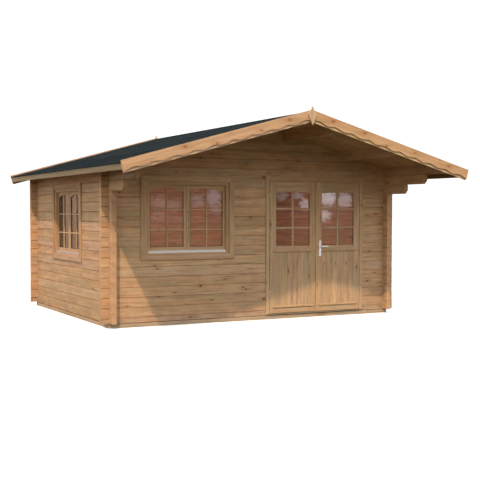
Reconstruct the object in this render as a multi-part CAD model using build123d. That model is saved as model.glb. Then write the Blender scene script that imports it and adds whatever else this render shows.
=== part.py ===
from build123d import *
import math
import os

# Gabled log cottage with a deep front canopy. Millimetres, +Z up.
# Working frame: x = 0 on the outer face of the left wall, y = 0 on the outer
# face of the front wall (outdoors is -y), z = 0 on the ground. Every piece is
# shifted at the end so that the origin is the bottom centre of the whole.

# ---------------------------------------------------------------- dimensions
W = 4494.0              # outer width over the side walls
D = 3550.0              # outer depth over the front and back walls
LOG_H = 135.0           # height of one log course
WALL_T = 70.0           # log thickness
OVERRUN = 106.0         # log ends beyond the crossing wall
BEARER_H = 62.0         # bearers under the walls
GROOVE_H = 4.0          # half height of the V joint between two logs
GROOVE_D = 5.0          # depth of the V joint

PITCH = 15.4            # roof pitch, degrees
RIDGE_Z = 2841.0        # top of the felt on the ridge
FELT_T = 4.0
BOARD_T = 19.0
EAVE = 2610.0           # half width of the roof over the fascias
FRONT_FACE = -1440.0    # outer face of the front bargeboards
BACK_FACE = 3800.0      # outer face of the back bargeboards
BARGE_T = 18.0
BARGE_RISE = 21.5       # bargeboard top above the felt
BARGE_H = 131.0         # at the low points of the scallops
SCALLOP = 22.0          # height of a scallop
SCALLOP_RUN = 270.0     # length of one scallop along the board
BACKING_H = 150.5       # plain board behind, measured from the same top line
FASCIA_T = 18.0
FASCIA_H = 83.0         # fascia, square to the slope, over the ends of the boards
FELT_DRIP = 3.0         # felt beyond the fascia
BOARD_END = 26.0        # roof boards end this far inside the edge of the felt

PURLIN_W = 60.0
PURLIN_OFF = (420.0, 1400.0)      # from the ridge, each slope
PURLIN_BOTTOM = (2563.0, 2306.0)
PURLIN_CUT = (240.0, 48.0)        # raking cut under their ends, length and height

BRACKET_LOW = 530.0     # lower bracket log, beyond the front wall
BRACKET_UP = 980.0      # upper bracket log
BRACKET_CUT = 50.0      # chamfer on the lower front corner

FLOOR_T = 20.0
JOIST_W = 45.0

DOOR_CX = 3200.0
DOOR_CASING_HALF = 835.0
DOOR_CASING_W = 56.0
DOOR_HEAD_Z = 1990.0    # underside of the frame head
DOOR_CASING_TOP = 2060.0
JAMB_T = 34.0
CASING_T = 18.0
LEAF_Z0, LEAF_Z1 = 82.0, 1985.0
LEAF_Y0, LEAF_Y1 = -18.0, 24.0   # flush with the casing
LEAF_GAP = 8.0          # leaf to jamb
MEET_GAP = 8.0          # between the two leaves
STILE_W = 102.0
DOOR_GLASS_Z0, DOOR_GLASS_Z1 = 1050.0, 1836.0
LOCK_RAIL_Z0 = 966.0
KICK_Z1 = 154.0
HINGE_OFF = 787.5       # hinge axis from the middle of the doorway
HINGE_Y = -26.0
HINGE_R = 7.0
HINGE_STUD = 4.0        # half thickness of the studs
HINGE_Z = ((331.0, 418.0), (1731.0, 1818.0))
HANDLE_X, LEVER_Z = 3274.0, 1037.0
PLATE_Z0, PLATE_Z1 = 896.0, 1125.0

WIN_CX = 1147.0         # front window
SIDE_WIN_CY = D / 2 + 70 # window of the left wall, a little behind its middle
SIDE_WIN_DROP = LOG_H / 2
WIN_CASING_HALF = 704.0
WIN_CASING_W = 77.0
WIN_CASING_Z0, WIN_CASING_Z1 = 890.0, 2032.0
WIN_OPEN_HALF = 652.0
WIN_OPEN_Z0, WIN_OPEN_Z1 = 918.0, 1984.0
WIN_JAMB_HALF = 583.0   # inner face of the frame, in front of the sashes
WIN_HEAD_Z = 1913.0     # underside of the frame head, in front of the sashes
WIN_SILL_Z = 985.0
WIN_REBATE = 18.0       # the sashes lap this far behind the frame, less a gap
SASH_Y0, SASH_Y1 = 40.0, 72.0
SASH_Z0, SASH_Z1 = 992.0, 1927.0
SASH_STILE = 50.0
SASH_GLASS_Z0 = 1066.0
ARCH_SPRING, ARCH_PEAK = 1824.0, 1870.0

GAP = 1.0               # between neighbouring timbers of one assembly

# ------------------------------------------------------------ derived values
TAN = math.tan(math.radians(PITCH))
COS = math.cos(math.radians(PITCH))
SIN = math.sin(math.radians(PITCH))
CX = W / 2
FELT_V = FELT_T / COS                   # thicknesses measured vertically
BOARD_V = BOARD_T / COS
FINIAL_T = 18.0
Y_FRONT = FRONT_FACE - FINIAL_T
Y_BACK = BACK_FACE + FINIAL_T
YC = (Y_FRONT + Y_BACK) / 2
UNDER_Z = RIDGE_Z - FELT_V - BOARD_V    # underside of the roof boards, ridge
ROOF_Y0 = FRONT_FACE + 2 * BARGE_T      # roof boards, front and back ends
ROOF_Y1 = BACK_FACE - 2 * BARGE_T
DOOR_OPEN_HALF = DOOR_CASING_HALF - DOOR_CASING_W + JAMB_T
SPLIT_Z = BEARER_H + LOG_H / 2 + 14 * LOG_H     # log joint over the doorway
SIDE_JOINTS = [BEARER_H + LOG_H * k for k in range(1, 17)]
GABLE_JOINTS = [BEARER_H + LOG_H / 2 + LOG_H * k for k in range(0, 22)]


def under(x):
    return UNDER_Z - TAN * abs(x - CX)


# ------------------------------------------------------------------- helpers
def box(x0, x1, y0, y1, z0, z1):
    return Pos((x0 + x1) / 2, (y0 + y1) / 2, (z0 + z1) / 2) * Box(x1 - x0, y1 - y0, z1 - z0)


def prism_x(pts, x0, x1):
    """Outline in (y, z) carried along x."""
    face = make_face(Polyline(*pts, close=True))
    return Pos(x0, 0, 0) * extrude(Plane.YZ * face, amount=x1 - x0)


def prism_y(pts, y0, y1):
    """Outline in (x, z) carried along y."""
    face = make_face(Polyline(*pts, close=True))
    return Pos(0, y1, 0) * extrude(Plane.XZ * face, amount=y1 - y0)


def notched(face0, face1, z0, z1, joints):
    """Section of a stack of logs between two faces, with V joints."""
    inner = [z for z in joints if z0 + 2 * GROOVE_H < z < z1 - 2 * GROOVE_H]
    pts = [(face0, z0), (face1, z0)]
    for z in inner:
        pts += [(face1, z - GROOVE_H), (face1 - GROOVE_D, z), (face1, z + GROOVE_H)]
    pts += [(face1, z1), (face0, z1)]
    for z in reversed(inner):
        pts += [(face0, z + GROOVE_H), (face0 + GROOVE_D, z), (face0, z - GROOVE_H)]
    return pts


def gable_logs(x0, x1, y0, z0, z1):
    """Logs of the front or back wall."""
    return prism_x(notched(y0, y0 + WALL_T, z0, z1, GABLE_JOINTS), x0, x1)


def side_section(x0, z0, z1):
    """Section of a side wall; z1 None carries it up to the sloped roof."""
    x1 = x0 + WALL_T
    if z1 is not None:
        return notched(x0, x1, z0, z1, SIDE_JOINTS)
    top0, top1 = under(x0), under(x1)
    inner = [z for z in SIDE_JOINTS if z0 + 2 * GROOVE_H < z < min(top0, top1) - 40]
    pts = [(x0, z0), (x1, z0)]
    for z in inner:
        pts += [(x1, z - GROOVE_H), (x1 - GROOVE_D, z), (x1, z + GROOVE_H)]
    pts += [(x1, top1), (x0, top0)]
    for z in reversed(inner):
        pts += [(x0, z + GROOVE_H), (x0 + GROOVE_D, z), (x0, z - GROOVE_H)]
    return pts


def side_logs(x0, y0, y1, z0, z1=None):
    return prism_y(side_section(x0, z0, z1), y0, y1)


def slope_pts(side, s, n):
    """Point on a bargeboard: s down the slope from the apex, n square to it."""
    return (CX + side * (s * COS - n * SIN),
            RIDGE_Z + BARGE_RISE - s * SIN - n * COS)


def half(side):
    """Everything on one side of the ridge, less half a joint."""
    if side < 0:
        return box(-2000, CX - GAP / 2, -3000, 6000, 0, 4000)
    return box(CX + GAP / 2, W + 2000, -3000, 6000, 0, 4000)


def scalloped_board(side, y0, y1):
    s_end = EAVE / COS
    pts = [slope_pts(side, -120, 0), slope_pts(side, s_end, 0)]
    steps = int(round((s_end + 120) / (SCALLOP_RUN / 16)))
    for i in range(steps + 1):
        s = s_end - i * (s_end + 120) / steps
        phase = 2 * math.pi * (s_end - s) / SCALLOP_RUN
        n = BARGE_H - SCALLOP * 0.5 * (1 - math.cos(phase))
        pts.append(slope_pts(side, s, n))
    return prism_y(pts, y0, y1) & half(side)


def plain_board(side, y0, y1):
    s_end = EAVE / COS
    n0 = (BARGE_RISE + FELT_V) * COS
    pts = [slope_pts(side, -120, n0), slope_pts(side, s_end, n0),
           slope_pts(side, s_end, BACKING_H), slope_pts(side, -120, BACKING_H)]
    return prism_y(pts, y0, y1) & half(side)


def roof_slab(side, off1, y0, y1, drop0, drop1):
    x0, x1 = CX, CX + side * off1
    pts = [(x0, RIDGE_Z - drop0), (x1, RIDGE_Z - drop0 - TAN * off1),
           (x1, RIDGE_Z - drop1 - TAN * off1), (x0, RIDGE_Z - drop1)]
    return prism_y(pts, y0, y1)


def purlin(side, off, bottom, y0, y1):
    xa, xb = CX + side * off - PURLIN_W / 2, CX + side * off + PURLIN_W / 2
    beam = prism_y([(xa, bottom), (xb, bottom), (xb, under(xb)), (xa, under(xa))], y0, y1)
    run, rise = PURLIN_CUT
    return beam & prism_x([(y0, bottom + rise), (y0 + run, bottom), (y1 - run, bottom),
                           (y1, bottom + rise), (y1, RIDGE_Z), (y0, RIDGE_Z)], xa - 5, xb + 5)


def arched(u0, u1, z_low, z_spring, z_peak):
    """Outline with a flat foot and an arched head, in (u, z)."""
    um = (u0 + u1) / 2
    return [Line((u0, z_spring), (u0, z_low)), Line((u0, z_low), (u1, z_low)),
            Line((u1, z_low), (u1, z_spring)),
            ThreePointArc((u1, z_spring), (um, z_peak), (u0, z_spring))]


def slab_y(edges, y0, y1):
    face = make_face(edges)
    return Pos(0, y1, 0) * extrude(Plane.XZ * face, amount=y1 - y0)


pieces = {}


def add(name, *solids):
    moved = [Pos(-CX, -YC, 0) * s for s in solids]
    flat = []
    for m in moved:
        flat += list(m.solids())
    pieces[name] = flat[0] if len(flat) == 1 else Compound(children=flat)


# ------------------------------------------------------------------ base
bearers = [
    box(0, W, 0, WALL_T, 0, BEARER_H),
    box(0, W, D - WALL_T, D, 0, BEARER_H),
    box(0, WALL_T, WALL_T + GAP, D - WALL_T - GAP, 0, BEARER_H),
    box(W - WALL_T, W, WALL_T + GAP, D - WALL_T - GAP, 0, BEARER_H),
]
for k in range(1, 7):
    xj = W * k / 7
    bearers.append(box(xj - JOIST_W / 2, xj + JOIST_W / 2,
                       WALL_T + GAP, D - WALL_T - GAP, 0, BEARER_H))
add("bearers", *bearers)
add("floor", box(WALL_T + GAP, W - WALL_T - GAP, WALL_T + GAP, D - WALL_T - GAP,
                 BEARER_H, BEARER_H + FLOOR_T))

# ------------------------------------------------------------------ purlins
purlins = [purlin(s, off, zb, ROOF_Y0, ROOF_Y1)
           for s in (-1, 1) for off, zb in zip(PURLIN_OFF, PURLIN_BOTTOM)]
add("purlins", *purlins)

# --------------------------------------------------------------- front wall
wx0, wx1 = WIN_CX - WIN_OPEN_HALF, WIN_CX + WIN_OPEN_HALF
dx0, dx1 = DOOR_CX - DOOR_OPEN_HALF, DOOR_CX + DOOR_OPEN_HALF
add("front_wall_left", gable_logs(-OVERRUN, wx0, 0, BEARER_H, SPLIT_Z))
add("front_wall_under_window", gable_logs(wx0, wx1, 0, BEARER_H, WIN_OPEN_Z0))
add("front_wall_middle", gable_logs(wx1, dx0, 0, BEARER_H, SPLIT_Z))
add("front_wall_right", gable_logs(dx1, W + OVERRUN, 0, BEARER_H, SPLIT_Z))

top_l, top_r = under(-OVERRUN), under(W + OVERRUN)
gable_front = gable_logs(-OVERRUN, W + OVERRUN, 0, WIN_OPEN_Z1 - 60, UNDER_Z + 50) & prism_y(
    [(-OVERRUN, SPLIT_Z), (wx0, SPLIT_Z), (wx0, WIN_OPEN_Z1), (wx1, WIN_OPEN_Z1),
     (wx1, SPLIT_Z), (W + OVERRUN, SPLIT_Z), (W + OVERRUN, top_r), (CX, UNDER_Z),
     (-OVERRUN, top_l)], -50, WALL_T + 50)
for p in purlins:
    gable_front = gable_front - p
add("front_gable", gable_front)

# ---------------------------------------------------------------- back wall
gable_back = gable_logs(-OVERRUN, W + OVERRUN, D - WALL_T, BEARER_H, UNDER_Z + 50) & prism_y(
    [(-OVERRUN, BEARER_H), (W + OVERRUN, BEARER_H), (W + OVERRUN, top_r), (CX, UNDER_Z),
     (-OVERRUN, top_l)], D - WALL_T - 50, D + 50)
for p in purlins:
    gable_back = gable_back - p
add("back_wall", gable_back)

# --------------------------------------------------------------- side walls
ya, yb = WALL_T, D - WALL_T
sy0, sy1 = SIDE_WIN_CY - WIN_OPEN_HALF, SIDE_WIN_CY + WIN_OPEN_HALF
sz0, sz1 = WIN_OPEN_Z0 - SIDE_WIN_DROP, WIN_OPEN_Z1 - SIDE_WIN_DROP
add("left_wall_front", side_logs(0, ya, sy0, BEARER_H))
add("left_wall_back", side_logs(0, sy1, yb, BEARER_H))
add("left_wall_under_window", side_logs(0, sy0, sy1, BEARER_H, sz0))
add("left_wall_over_window", side_logs(0, sy0, sy1, sz1))
add("right_wall", side_logs(W - WALL_T, ya, yb, BEARER_H))

# log ends of the side walls in front of the front wall: the upper three
# courses step out under the canopy as brackets
z13, z14, z15 = SIDE_JOINTS[12], SIDE_JOINTS[13], SIDE_JOINTS[14]
c = GAP / 2
log_end_outlines = [
    [(0, BEARER_H), (-OVERRUN, BEARER_H), (-OVERRUN, z13 - c), (0, z13 - c)],
    [(0, z13 + c), (-BRACKET_LOW + BRACKET_CUT, z13 + c), (-BRACKET_LOW, z13 + BRACKET_CUT),
     (-BRACKET_LOW, z14 - c), (0, z14 - c)],
    [(0, z14 + c), (-BRACKET_UP + BRACKET_CUT, z14 + c), (-BRACKET_UP, z14 + BRACKET_CUT),
     (-BRACKET_UP, z15 - c), (0, z15 - c)],
    [(0, z15 + c), (ROOF_Y0, z15 + c), (ROOF_Y0, 2400), (0, 2400)]]
for name, x0 in (("left_front_log_ends", 0.0), ("right_front_log_ends", W - WALL_T)):
    stack = side_logs(x0, ROOF_Y0, 0, BEARER_H)
    add(name, *[stack & prism_x(pts, x0 - 50, x0 + 150) for pts in log_end_outlines])
add("back_log_ends",
    side_logs(0, D, D + OVERRUN, BEARER_H),
    side_logs(W - WALL_T, D, D + OVERRUN, BEARER_H))

# --------------------------------------------------------------------- roof
fascias = []
for name, side in (("left", -1), ("right", 1)):
    add("roof_boards_" + name,
        roof_slab(side, EAVE - BOARD_END, ROOF_Y0, ROOF_Y1, FELT_V, FELT_V + BOARD_V))
    add("roofing_felt_" + name,
        roof_slab(side, EAVE, FRONT_FACE + BARGE_T, BACK_FACE - BARGE_T, 0, FELT_V))
    # corner of the fascia under the felt, then its section square to the slope
    xf, zf = EAVE - FELT_DRIP, RIDGE_Z - FELT_V - TAN * (EAVE - FELT_DRIP)
    section = [(xf - a * COS - b * SIN, zf + a * SIN - b * COS)
               for a, b in ((0, 0), (FASCIA_T, 0), (FASCIA_T, FASCIA_H), (0, FASCIA_H))]
    fascias.append(prism_y([(CX + side * u, z) for u, z in section], ROOF_Y0, ROOF_Y1))
add("eave_fascias", *fascias)

add("front_bargeboards",
    *[scalloped_board(s, FRONT_FACE, FRONT_FACE + BARGE_T) for s in (-1, 1)])
add("back_bargeboards",
    *[scalloped_board(s, BACK_FACE - BARGE_T, BACK_FACE) for s in (-1, 1)])
add("gable_backing_boards",
    *[plain_board(s, FRONT_FACE + BARGE_T, ROOF_Y0) for s in (-1, 1)],
    *[plain_board(s, ROOF_Y1, BACK_FACE - BARGE_T) for s in (-1, 1)])

kite = [(CX, 2906), (CX - 22, 2858), (CX - 64, 2802), (CX - 30, 2730), (CX, 2664),
        (CX + 30, 2730), (CX + 64, 2802), (CX + 22, 2858)]
add("finials",
    prism_y(kite, Y_FRONT, FRONT_FACE),
    prism_y(kite, BACK_FACE, Y_BACK))


# ------------------------------------------------------------------ windows
def window():
    """Fixed parts of one double window, centred on x = 0, outdoors at -y."""
    ch, cw = WIN_CASING_HALF, WIN_CASING_W
    z0, z1 = WIN_CASING_Z0, WIN_CASING_Z1
    ci = ch - cw
    casing = [
        box(-ch, -ci, -CASING_T, 0, z0, z1),
        box(ci, ch, -CASING_T, 0, z0, z1),
        box(-ci + GAP, ci - GAP, -CASING_T, 0, z1 - cw, z1),
        box(-ci + GAP, ci - GAP, -CASING_T, 0, z0, z0 + cw + 8),
    ]
    oh, jh = WIN_OPEN_HALF, WIN_JAMB_HALF
    rh, rz = jh + WIN_REBATE, WIN_HEAD_Z + WIN_REBATE
    yr = SASH_Y0 - 3
    frame = [
        box(-oh, -jh, GAP, yr, WIN_OPEN_Z0, WIN_OPEN_Z1),
        box(jh, oh, GAP, yr, WIN_OPEN_Z0, WIN_OPEN_Z1),
        box(-jh + GAP, jh - GAP, GAP, yr, WIN_HEAD_Z, WIN_OPEN_Z1),
        box(-oh, -rh, yr + GAP, WALL_T, WIN_OPEN_Z0, WIN_OPEN_Z1),
        box(rh, oh, yr + GAP, WALL_T, WIN_OPEN_Z0, WIN_OPEN_Z1),
        box(-rh + GAP, rh - GAP, yr + GAP, WALL_T, rz, WIN_OPEN_Z1),
        box(-jh + GAP, jh - GAP, GAP, yr, WIN_OPEN_Z0, WIN_SILL_Z),
        box(-rh + GAP, rh - GAP, yr + GAP, WALL_T, WIN_OPEN_Z0, WIN_SILL_Z),
    ]
    sash, glass = [], []
    sh = rh - 4
    for a, b in ((-sh, -2.0), (2.0, sh)):
        ga, gb = a + SASH_STILE, b - SASH_STILE
        sash.append(box(a, ga, SASH_Y0, SASH_Y1, SASH_Z0, SASH_Z1))
        sash.append(box(gb, b, SASH_Y0, SASH_Y1, SASH_Z0, SASH_Z1))
        ga, gb = ga + GAP, gb - GAP
        um = (ga + gb) / 2
        sash.append(box(ga, gb, SASH_Y0, SASH_Y1, SASH_Z0, SASH_GLASS_Z0))
        head = [Line((ga, ARCH_SPRING), (ga, SASH_Z1)), Line((ga, SASH_Z1), (gb, SASH_Z1)),
                Line((gb, SASH_Z1), (gb, ARCH_SPRING)),
                ThreePointArc((gb, ARCH_SPRING), (um, ARCH_PEAK), (ga, ARCH_SPRING))]
        sash.append(slab_y(head, SASH_Y0, SASH_Y1))
        glass.append(slab_y(arched(ga, gb, SASH_GLASS_Z0 + GAP, ARCH_SPRING - GAP,
                                   ARCH_PEAK - GAP), 55, 59))
    drip = [prism_x([(6, 986), (6, 1000), (30, 1020), (38, 1020), (38, 986)],
                    -jh + 1, jh - 1)]
    return {"frame": casing + frame, "sashes": sash, "glass": glass, "drip_sill": drip}


fixed = window()
for part_name, solids in fixed.items():
    add("front_window_" + part_name, *[Pos(WIN_CX, 0, 0) * s for s in solids])
    add("side_window_" + part_name,
        *[Pos(0, SIDE_WIN_CY, -SIDE_WIN_DROP) * (Rot(0, 0, -90) * s) for s in solids])

# --------------------------------------------------------------------- door
di = DOOR_CASING_HALF - DOOR_CASING_W
door_frame = [
    box(DOOR_CX - di + GAP, DOOR_CX + di - GAP, -CASING_T, 0, DOOR_HEAD_Z, DOOR_CASING_TOP),
    box(DOOR_CX - di + GAP, DOOR_CX + di - GAP, GAP, WALL_T, DOOR_HEAD_Z, SPLIT_Z)]
for s in (-1, 1):
    outer, inner, opening = (DOOR_CX + s * DOOR_CASING_HALF, DOOR_CX + s * di,
                             DOOR_CX + s * DOOR_OPEN_HALF)
    door_frame.append(box(min(outer, inner), max(outer, inner), -CASING_T, 0, BEARER_H + 8,
                          DOOR_CASING_TOP))
    door_frame.append(box(min(opening, inner), max(opening, inner), GAP, WALL_T, BEARER_H,
                          SPLIT_Z))
add("door_frame", *door_frame)
add("door_threshold",
    box(DOOR_CX - di + GAP, DOOR_CX + di - GAP, -20, WALL_T, BEARER_H, LEAF_Z0 - 6))

frame_half = []
for name, s in (("left", -1), ("right", 1)):
    def bx(a, b, y0, y1, z0, z1):
        """Box measured from the middle of the doorway outwards."""
        u, v = DOOR_CX + s * a, DOOR_CX + s * b
        return box(min(u, v), max(u, v), y0, y1, z0, z1)

    m0, m1 = MEET_GAP / 2, di - LEAF_GAP
    p0, p1 = m0 + STILE_W + GAP, m1 - STILE_W - GAP
    add(name + "_door_leaf",
        bx(m0, m0 + STILE_W, LEAF_Y0, LEAF_Y1, LEAF_Z0, LEAF_Z1),
        bx(m1 - STILE_W, m1, LEAF_Y0, LEAF_Y1, LEAF_Z0, LEAF_Z1),
        bx(p0, p1, LEAF_Y0, LEAF_Y1, DOOR_GLASS_Z1, LEAF_Z1),
        bx(p0, p1, LEAF_Y0, LEAF_Y1, LOCK_RAIL_Z0, DOOR_GLASS_Z0),
        bx(p0, p1, LEAF_Y0 + 9, LEAF_Y1 - 9, KICK_Z1 + GAP, LOCK_RAIL_Z0 - GAP),
        bx(p0, p1, LEAF_Y0, LEAF_Y1, LEAF_Z0, KICK_Z1))
    add(name + "_door_glass",
        bx(p0, p1, LEAF_Y0 + 19, LEAF_Y0 + 23, DOOR_GLASS_Z0 + GAP, DOOR_GLASS_Z1 - GAP))

    # barrel hinges on studs: the lower half of each barrel is on the casing,
    # the upper half carries the leaf on a cranked stud
    xh = DOOR_CX + s * HINGE_OFF
    leaf_half = []
    for z0, z1 in HINGE_Z:
        zm = (z0 + z1) / 2
        zf, zl = (z0 + zm - 1.5) / 2, (z1 + zm + 1.5) / 2
        frame_half.append(
            Pos(xh, HINGE_Y, zf) * Cylinder(HINGE_R, zm - 1.5 - z0)
            + Pos(xh, (HINGE_Y - CASING_T) / 2, zf) * Rot(90, 0, 0)
            * Cylinder(HINGE_STUD, -CASING_T - HINGE_Y))
        a, b = DOOR_CX + s * (HINGE_OFF - 38), DOOR_CX + s * (HINGE_OFF - 30)
        stud = (box(min(xh, a), max(xh, a), HINGE_Y - 3, HINGE_Y + 3, zl - HINGE_STUD,
                    zl + HINGE_STUD)
                + box(min(a, b), max(a, b), HINGE_Y - 3, LEAF_Y0, zl - HINGE_STUD,
                      zl + HINGE_STUD))
        leaf_half.append(Pos(xh, HINGE_Y, zl) * Cylinder(HINGE_R, z1 - zm - 1.5) + stud)
    add(name + "_door_hinges", *leaf_half)
add("hinge_frame_halves", *frame_half)

# lever handle on the right leaf: long back plate with a bore for the spindle
plate = box(HANDLE_X - 18, HANDLE_X + 18, LEAF_Y0 - 4, LEAF_Y0, PLATE_Z0, PLATE_Z1)
plate = plate - Pos(HANDLE_X, LEAF_Y0 - 2, LEVER_Z) * Rot(90, 0, 0) * Cylinder(9.5, 20)
add("handle_plate", plate)
spindle = Pos(HANDLE_X, LEAF_Y0 - 24.5, LEVER_Z) * Rot(90, 0, 0) * Cylinder(9, 47)
arm = box(HANDLE_X - 9, HANDLE_X + 110, LEAF_Y0 - 56, LEAF_Y0 - 42, LEVER_Z - 7.5, LEVER_Z + 7.5)
add("lever_handle", spindle + arm)

# ------------------------------------------------------------------- output
os.makedirs("parts", exist_ok=True)
for name, shape in pieces.items():
    export_step(shape, "parts/" + name + ".step")
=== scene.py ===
import math
import random

import bmesh
import bpy
from mathutils import Matrix, Vector


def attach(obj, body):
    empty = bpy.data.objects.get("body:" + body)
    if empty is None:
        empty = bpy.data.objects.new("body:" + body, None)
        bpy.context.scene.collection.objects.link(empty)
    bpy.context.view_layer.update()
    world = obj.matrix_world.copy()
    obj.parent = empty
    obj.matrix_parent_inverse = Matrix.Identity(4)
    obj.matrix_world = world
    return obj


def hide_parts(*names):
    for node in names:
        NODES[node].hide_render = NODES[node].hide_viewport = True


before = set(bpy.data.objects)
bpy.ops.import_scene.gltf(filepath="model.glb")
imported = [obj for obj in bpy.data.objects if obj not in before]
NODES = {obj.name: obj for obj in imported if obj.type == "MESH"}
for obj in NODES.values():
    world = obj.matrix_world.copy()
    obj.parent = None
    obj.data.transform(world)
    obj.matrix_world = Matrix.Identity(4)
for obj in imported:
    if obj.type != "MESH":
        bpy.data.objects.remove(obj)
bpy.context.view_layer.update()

RND = random.Random(41)

# Working frame of the drawing: millimetres, x = 0 on the left wall's outer
# face, y = 0 on the front wall's outer face, z = 0 on the ground.
CX, YC = 2247.0, 1180.0


def P(x, y, z):
    return Vector(((x - CX) / 1000, (y - YC) / 1000, z / 1000))


# ------------------------------------------------------------------ dimensions
W, D, T = 4494.0, 3550.0, 70.0
LOG = 135.0
BEARER = 62.0
PITCH = math.radians(15.4)
COS, SIN, TAN = math.cos(PITCH), math.sin(PITCH), math.tan(PITCH)
RIDGE = 2841.0
FELT_V, BOARD_V = 4.0 / COS, 19.0 / COS
EAVE = 2610.0
ROOF_Y0, ROOF_Y1 = -1404.0, 3764.0
FELT_Y0, FELT_Y1 = -1422.0, 3782.0
LAPS = (1835.0, 935.0, 165.0)     # edges of the felt courses, from the ridge
DOOR_CX = 3200.0
WIN_CX, SIDE_CY, SIDE_DROP = 1147.0, D / 2 + 70, 67.5


# --------------------------------------------------------------- node helpers
class Tree:
    """Small helper for writing node trees."""

    def __init__(self, mat):
        mat.use_nodes = True
        self.nt = mat.node_tree
        self.nt.nodes.clear()
        self.out = self.nt.nodes.new("ShaderNodeOutputMaterial")

    def put(self, sock, v):
        if isinstance(v, bpy.types.NodeSocket):
            self.nt.links.new(v, sock)
        else:
            sock.default_value = v

    def new(self, kind, **props):
        n = self.nt.nodes.new("ShaderNode" + kind)
        for k, v in props.items():
            setattr(n, k, v)
        return n

    def m(self, op, a, b=None, c=None, clamp=False):
        n = self.new("Math", operation=op, use_clamp=clamp)
        self.put(n.inputs[0], a)
        if b is not None:
            self.put(n.inputs[1], b)
        if c is not None:
            self.put(n.inputs[2], c)
        return n.outputs[0]

    def xyz(self, x, y, z):
        n = self.new("CombineXYZ")
        for i, v in enumerate((x, y, z)):
            self.put(n.inputs[i], v)
        return n.outputs[0]

    def vmul(self, v, k):
        n = self.new("VectorMath", operation="MULTIPLY")
        self.put(n.inputs[0], v)
        n.inputs[1].default_value = k
        return n.outputs[0]

    def vsub(self, v, k):
        n = self.new("VectorMath", operation="SUBTRACT")
        self.put(n.inputs[0], v)
        n.inputs[1].default_value = k
        return n.outputs[0]

    def vlen(self, v):
        n = self.new("VectorMath", operation="LENGTH")
        self.put(n.inputs[0], v)
        return n.outputs["Value"]

    def split(self, v):
        n = self.new("SeparateXYZ")
        self.put(n.inputs[0], v)
        return n.outputs[0], n.outputs[1], n.outputs[2]

    def step(self, v, lo, hi, to0=0.0, to1=1.0):
        n = self.new("MapRange", interpolation_type="SMOOTHSTEP")
        self.put(n.inputs["Value"], v)
        n.inputs["From Min"].default_value = lo
        n.inputs["From Max"].default_value = hi
        n.inputs["To Min"].default_value = to0
        n.inputs["To Max"].default_value = to1
        return n.outputs["Result"]

    def lin(self, v, lo, hi, to0=0.0, to1=1.0):
        n = self.new("MapRange", interpolation_type="LINEAR")
        self.put(n.inputs["Value"], v)
        n.inputs["From Min"].default_value = lo
        n.inputs["From Max"].default_value = hi
        n.inputs["To Min"].default_value = to0
        n.inputs["To Max"].default_value = to1
        return n.outputs["Result"]

    def noise(self, vec, scale=1.0, detail=2.0, rough=0.5, distort=0.0, dims="3D", w=None):
        n = self.new("TexNoise", noise_dimensions=dims)
        if vec is not None:
            self.put(n.inputs["Vector"], vec)
        if w is not None:
            self.put(n.inputs["W"], w)
        n.inputs["Scale"].default_value = scale
        n.inputs["Detail"].default_value = detail
        n.inputs["Roughness"].default_value = rough
        n.inputs["Distortion"].default_value = distort
        return n.outputs["Fac"]

    def white(self, vec):
        n = self.new("TexWhiteNoise", noise_dimensions="3D")
        self.put(n.inputs["Vector"], vec)
        return n.outputs["Value"], n.outputs["Color"]

    def ramp(self, fac, stops):
        n = self.new("ValToRGB")
        els = n.color_ramp.elements
        while len(els) < len(stops):
            els.new(0.5)
        for e, (p, c) in zip(els, stops):
            e.position = p
            e.color = (c[0], c[1], c[2], 1)
        self.put(n.inputs[0], fac)
        return n.outputs[0]

    def mix(self, fac, a, b, kind="MIX"):
        n = self.new("Mix", data_type="RGBA", blend_type=kind)
        self.put(n.inputs[0], fac)
        for s, v in ((n.inputs[6], a), (n.inputs[7], b)):
            if isinstance(v, tuple):
                v = (v[0], v[1], v[2], 1.0)
            self.put(s, v)
        return n.outputs[2]

    def hsv(self, col, h, s, v):
        n = self.new("HueSaturation")
        self.put(n.inputs["Hue"], h)
        self.put(n.inputs["Saturation"], s)
        self.put(n.inputs["Value"], v)
        n.inputs["Fac"].default_value = 1.0
        self.put(n.inputs["Color"], col)
        return n.outputs[0]

    def bump(self, height, dist=0.001, strength=0.5):
        n = self.new("Bump")
        n.inputs["Strength"].default_value = strength
        n.inputs["Distance"].default_value = dist
        self.put(n.inputs["Height"], height)
        return n.outputs[0]

    def principled(self, **kw):
        n = self.new("BsdfPrincipled")
        for k, v in kw.items():
            self.put(n.inputs[k.replace("_", " ")], v)
        self.nt.links.new(n.outputs[0], self.out.inputs["Surface"])
        return n


def obj_coord(t):
    return t.new("TexCoord").outputs["Object"]


def obj_normal(t):
    return t.new("TexCoord").outputs["Normal"]


# ------------------------------------------------------------------ timber
PALE = (0.775, 0.525, 0.325)
MID = (0.655, 0.415, 0.238)
DARK = (0.48, 0.278, 0.146)
BLACK_KNOT = ((0.085, 0.045, 0.022), (0.20, 0.10, 0.045))
BROWN_KNOT = ((0.13, 0.065, 0.030), (0.26, 0.125, 0.055))
RED_KNOT = ((0.30, 0.125, 0.050), (0.46, 0.21, 0.095))


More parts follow.
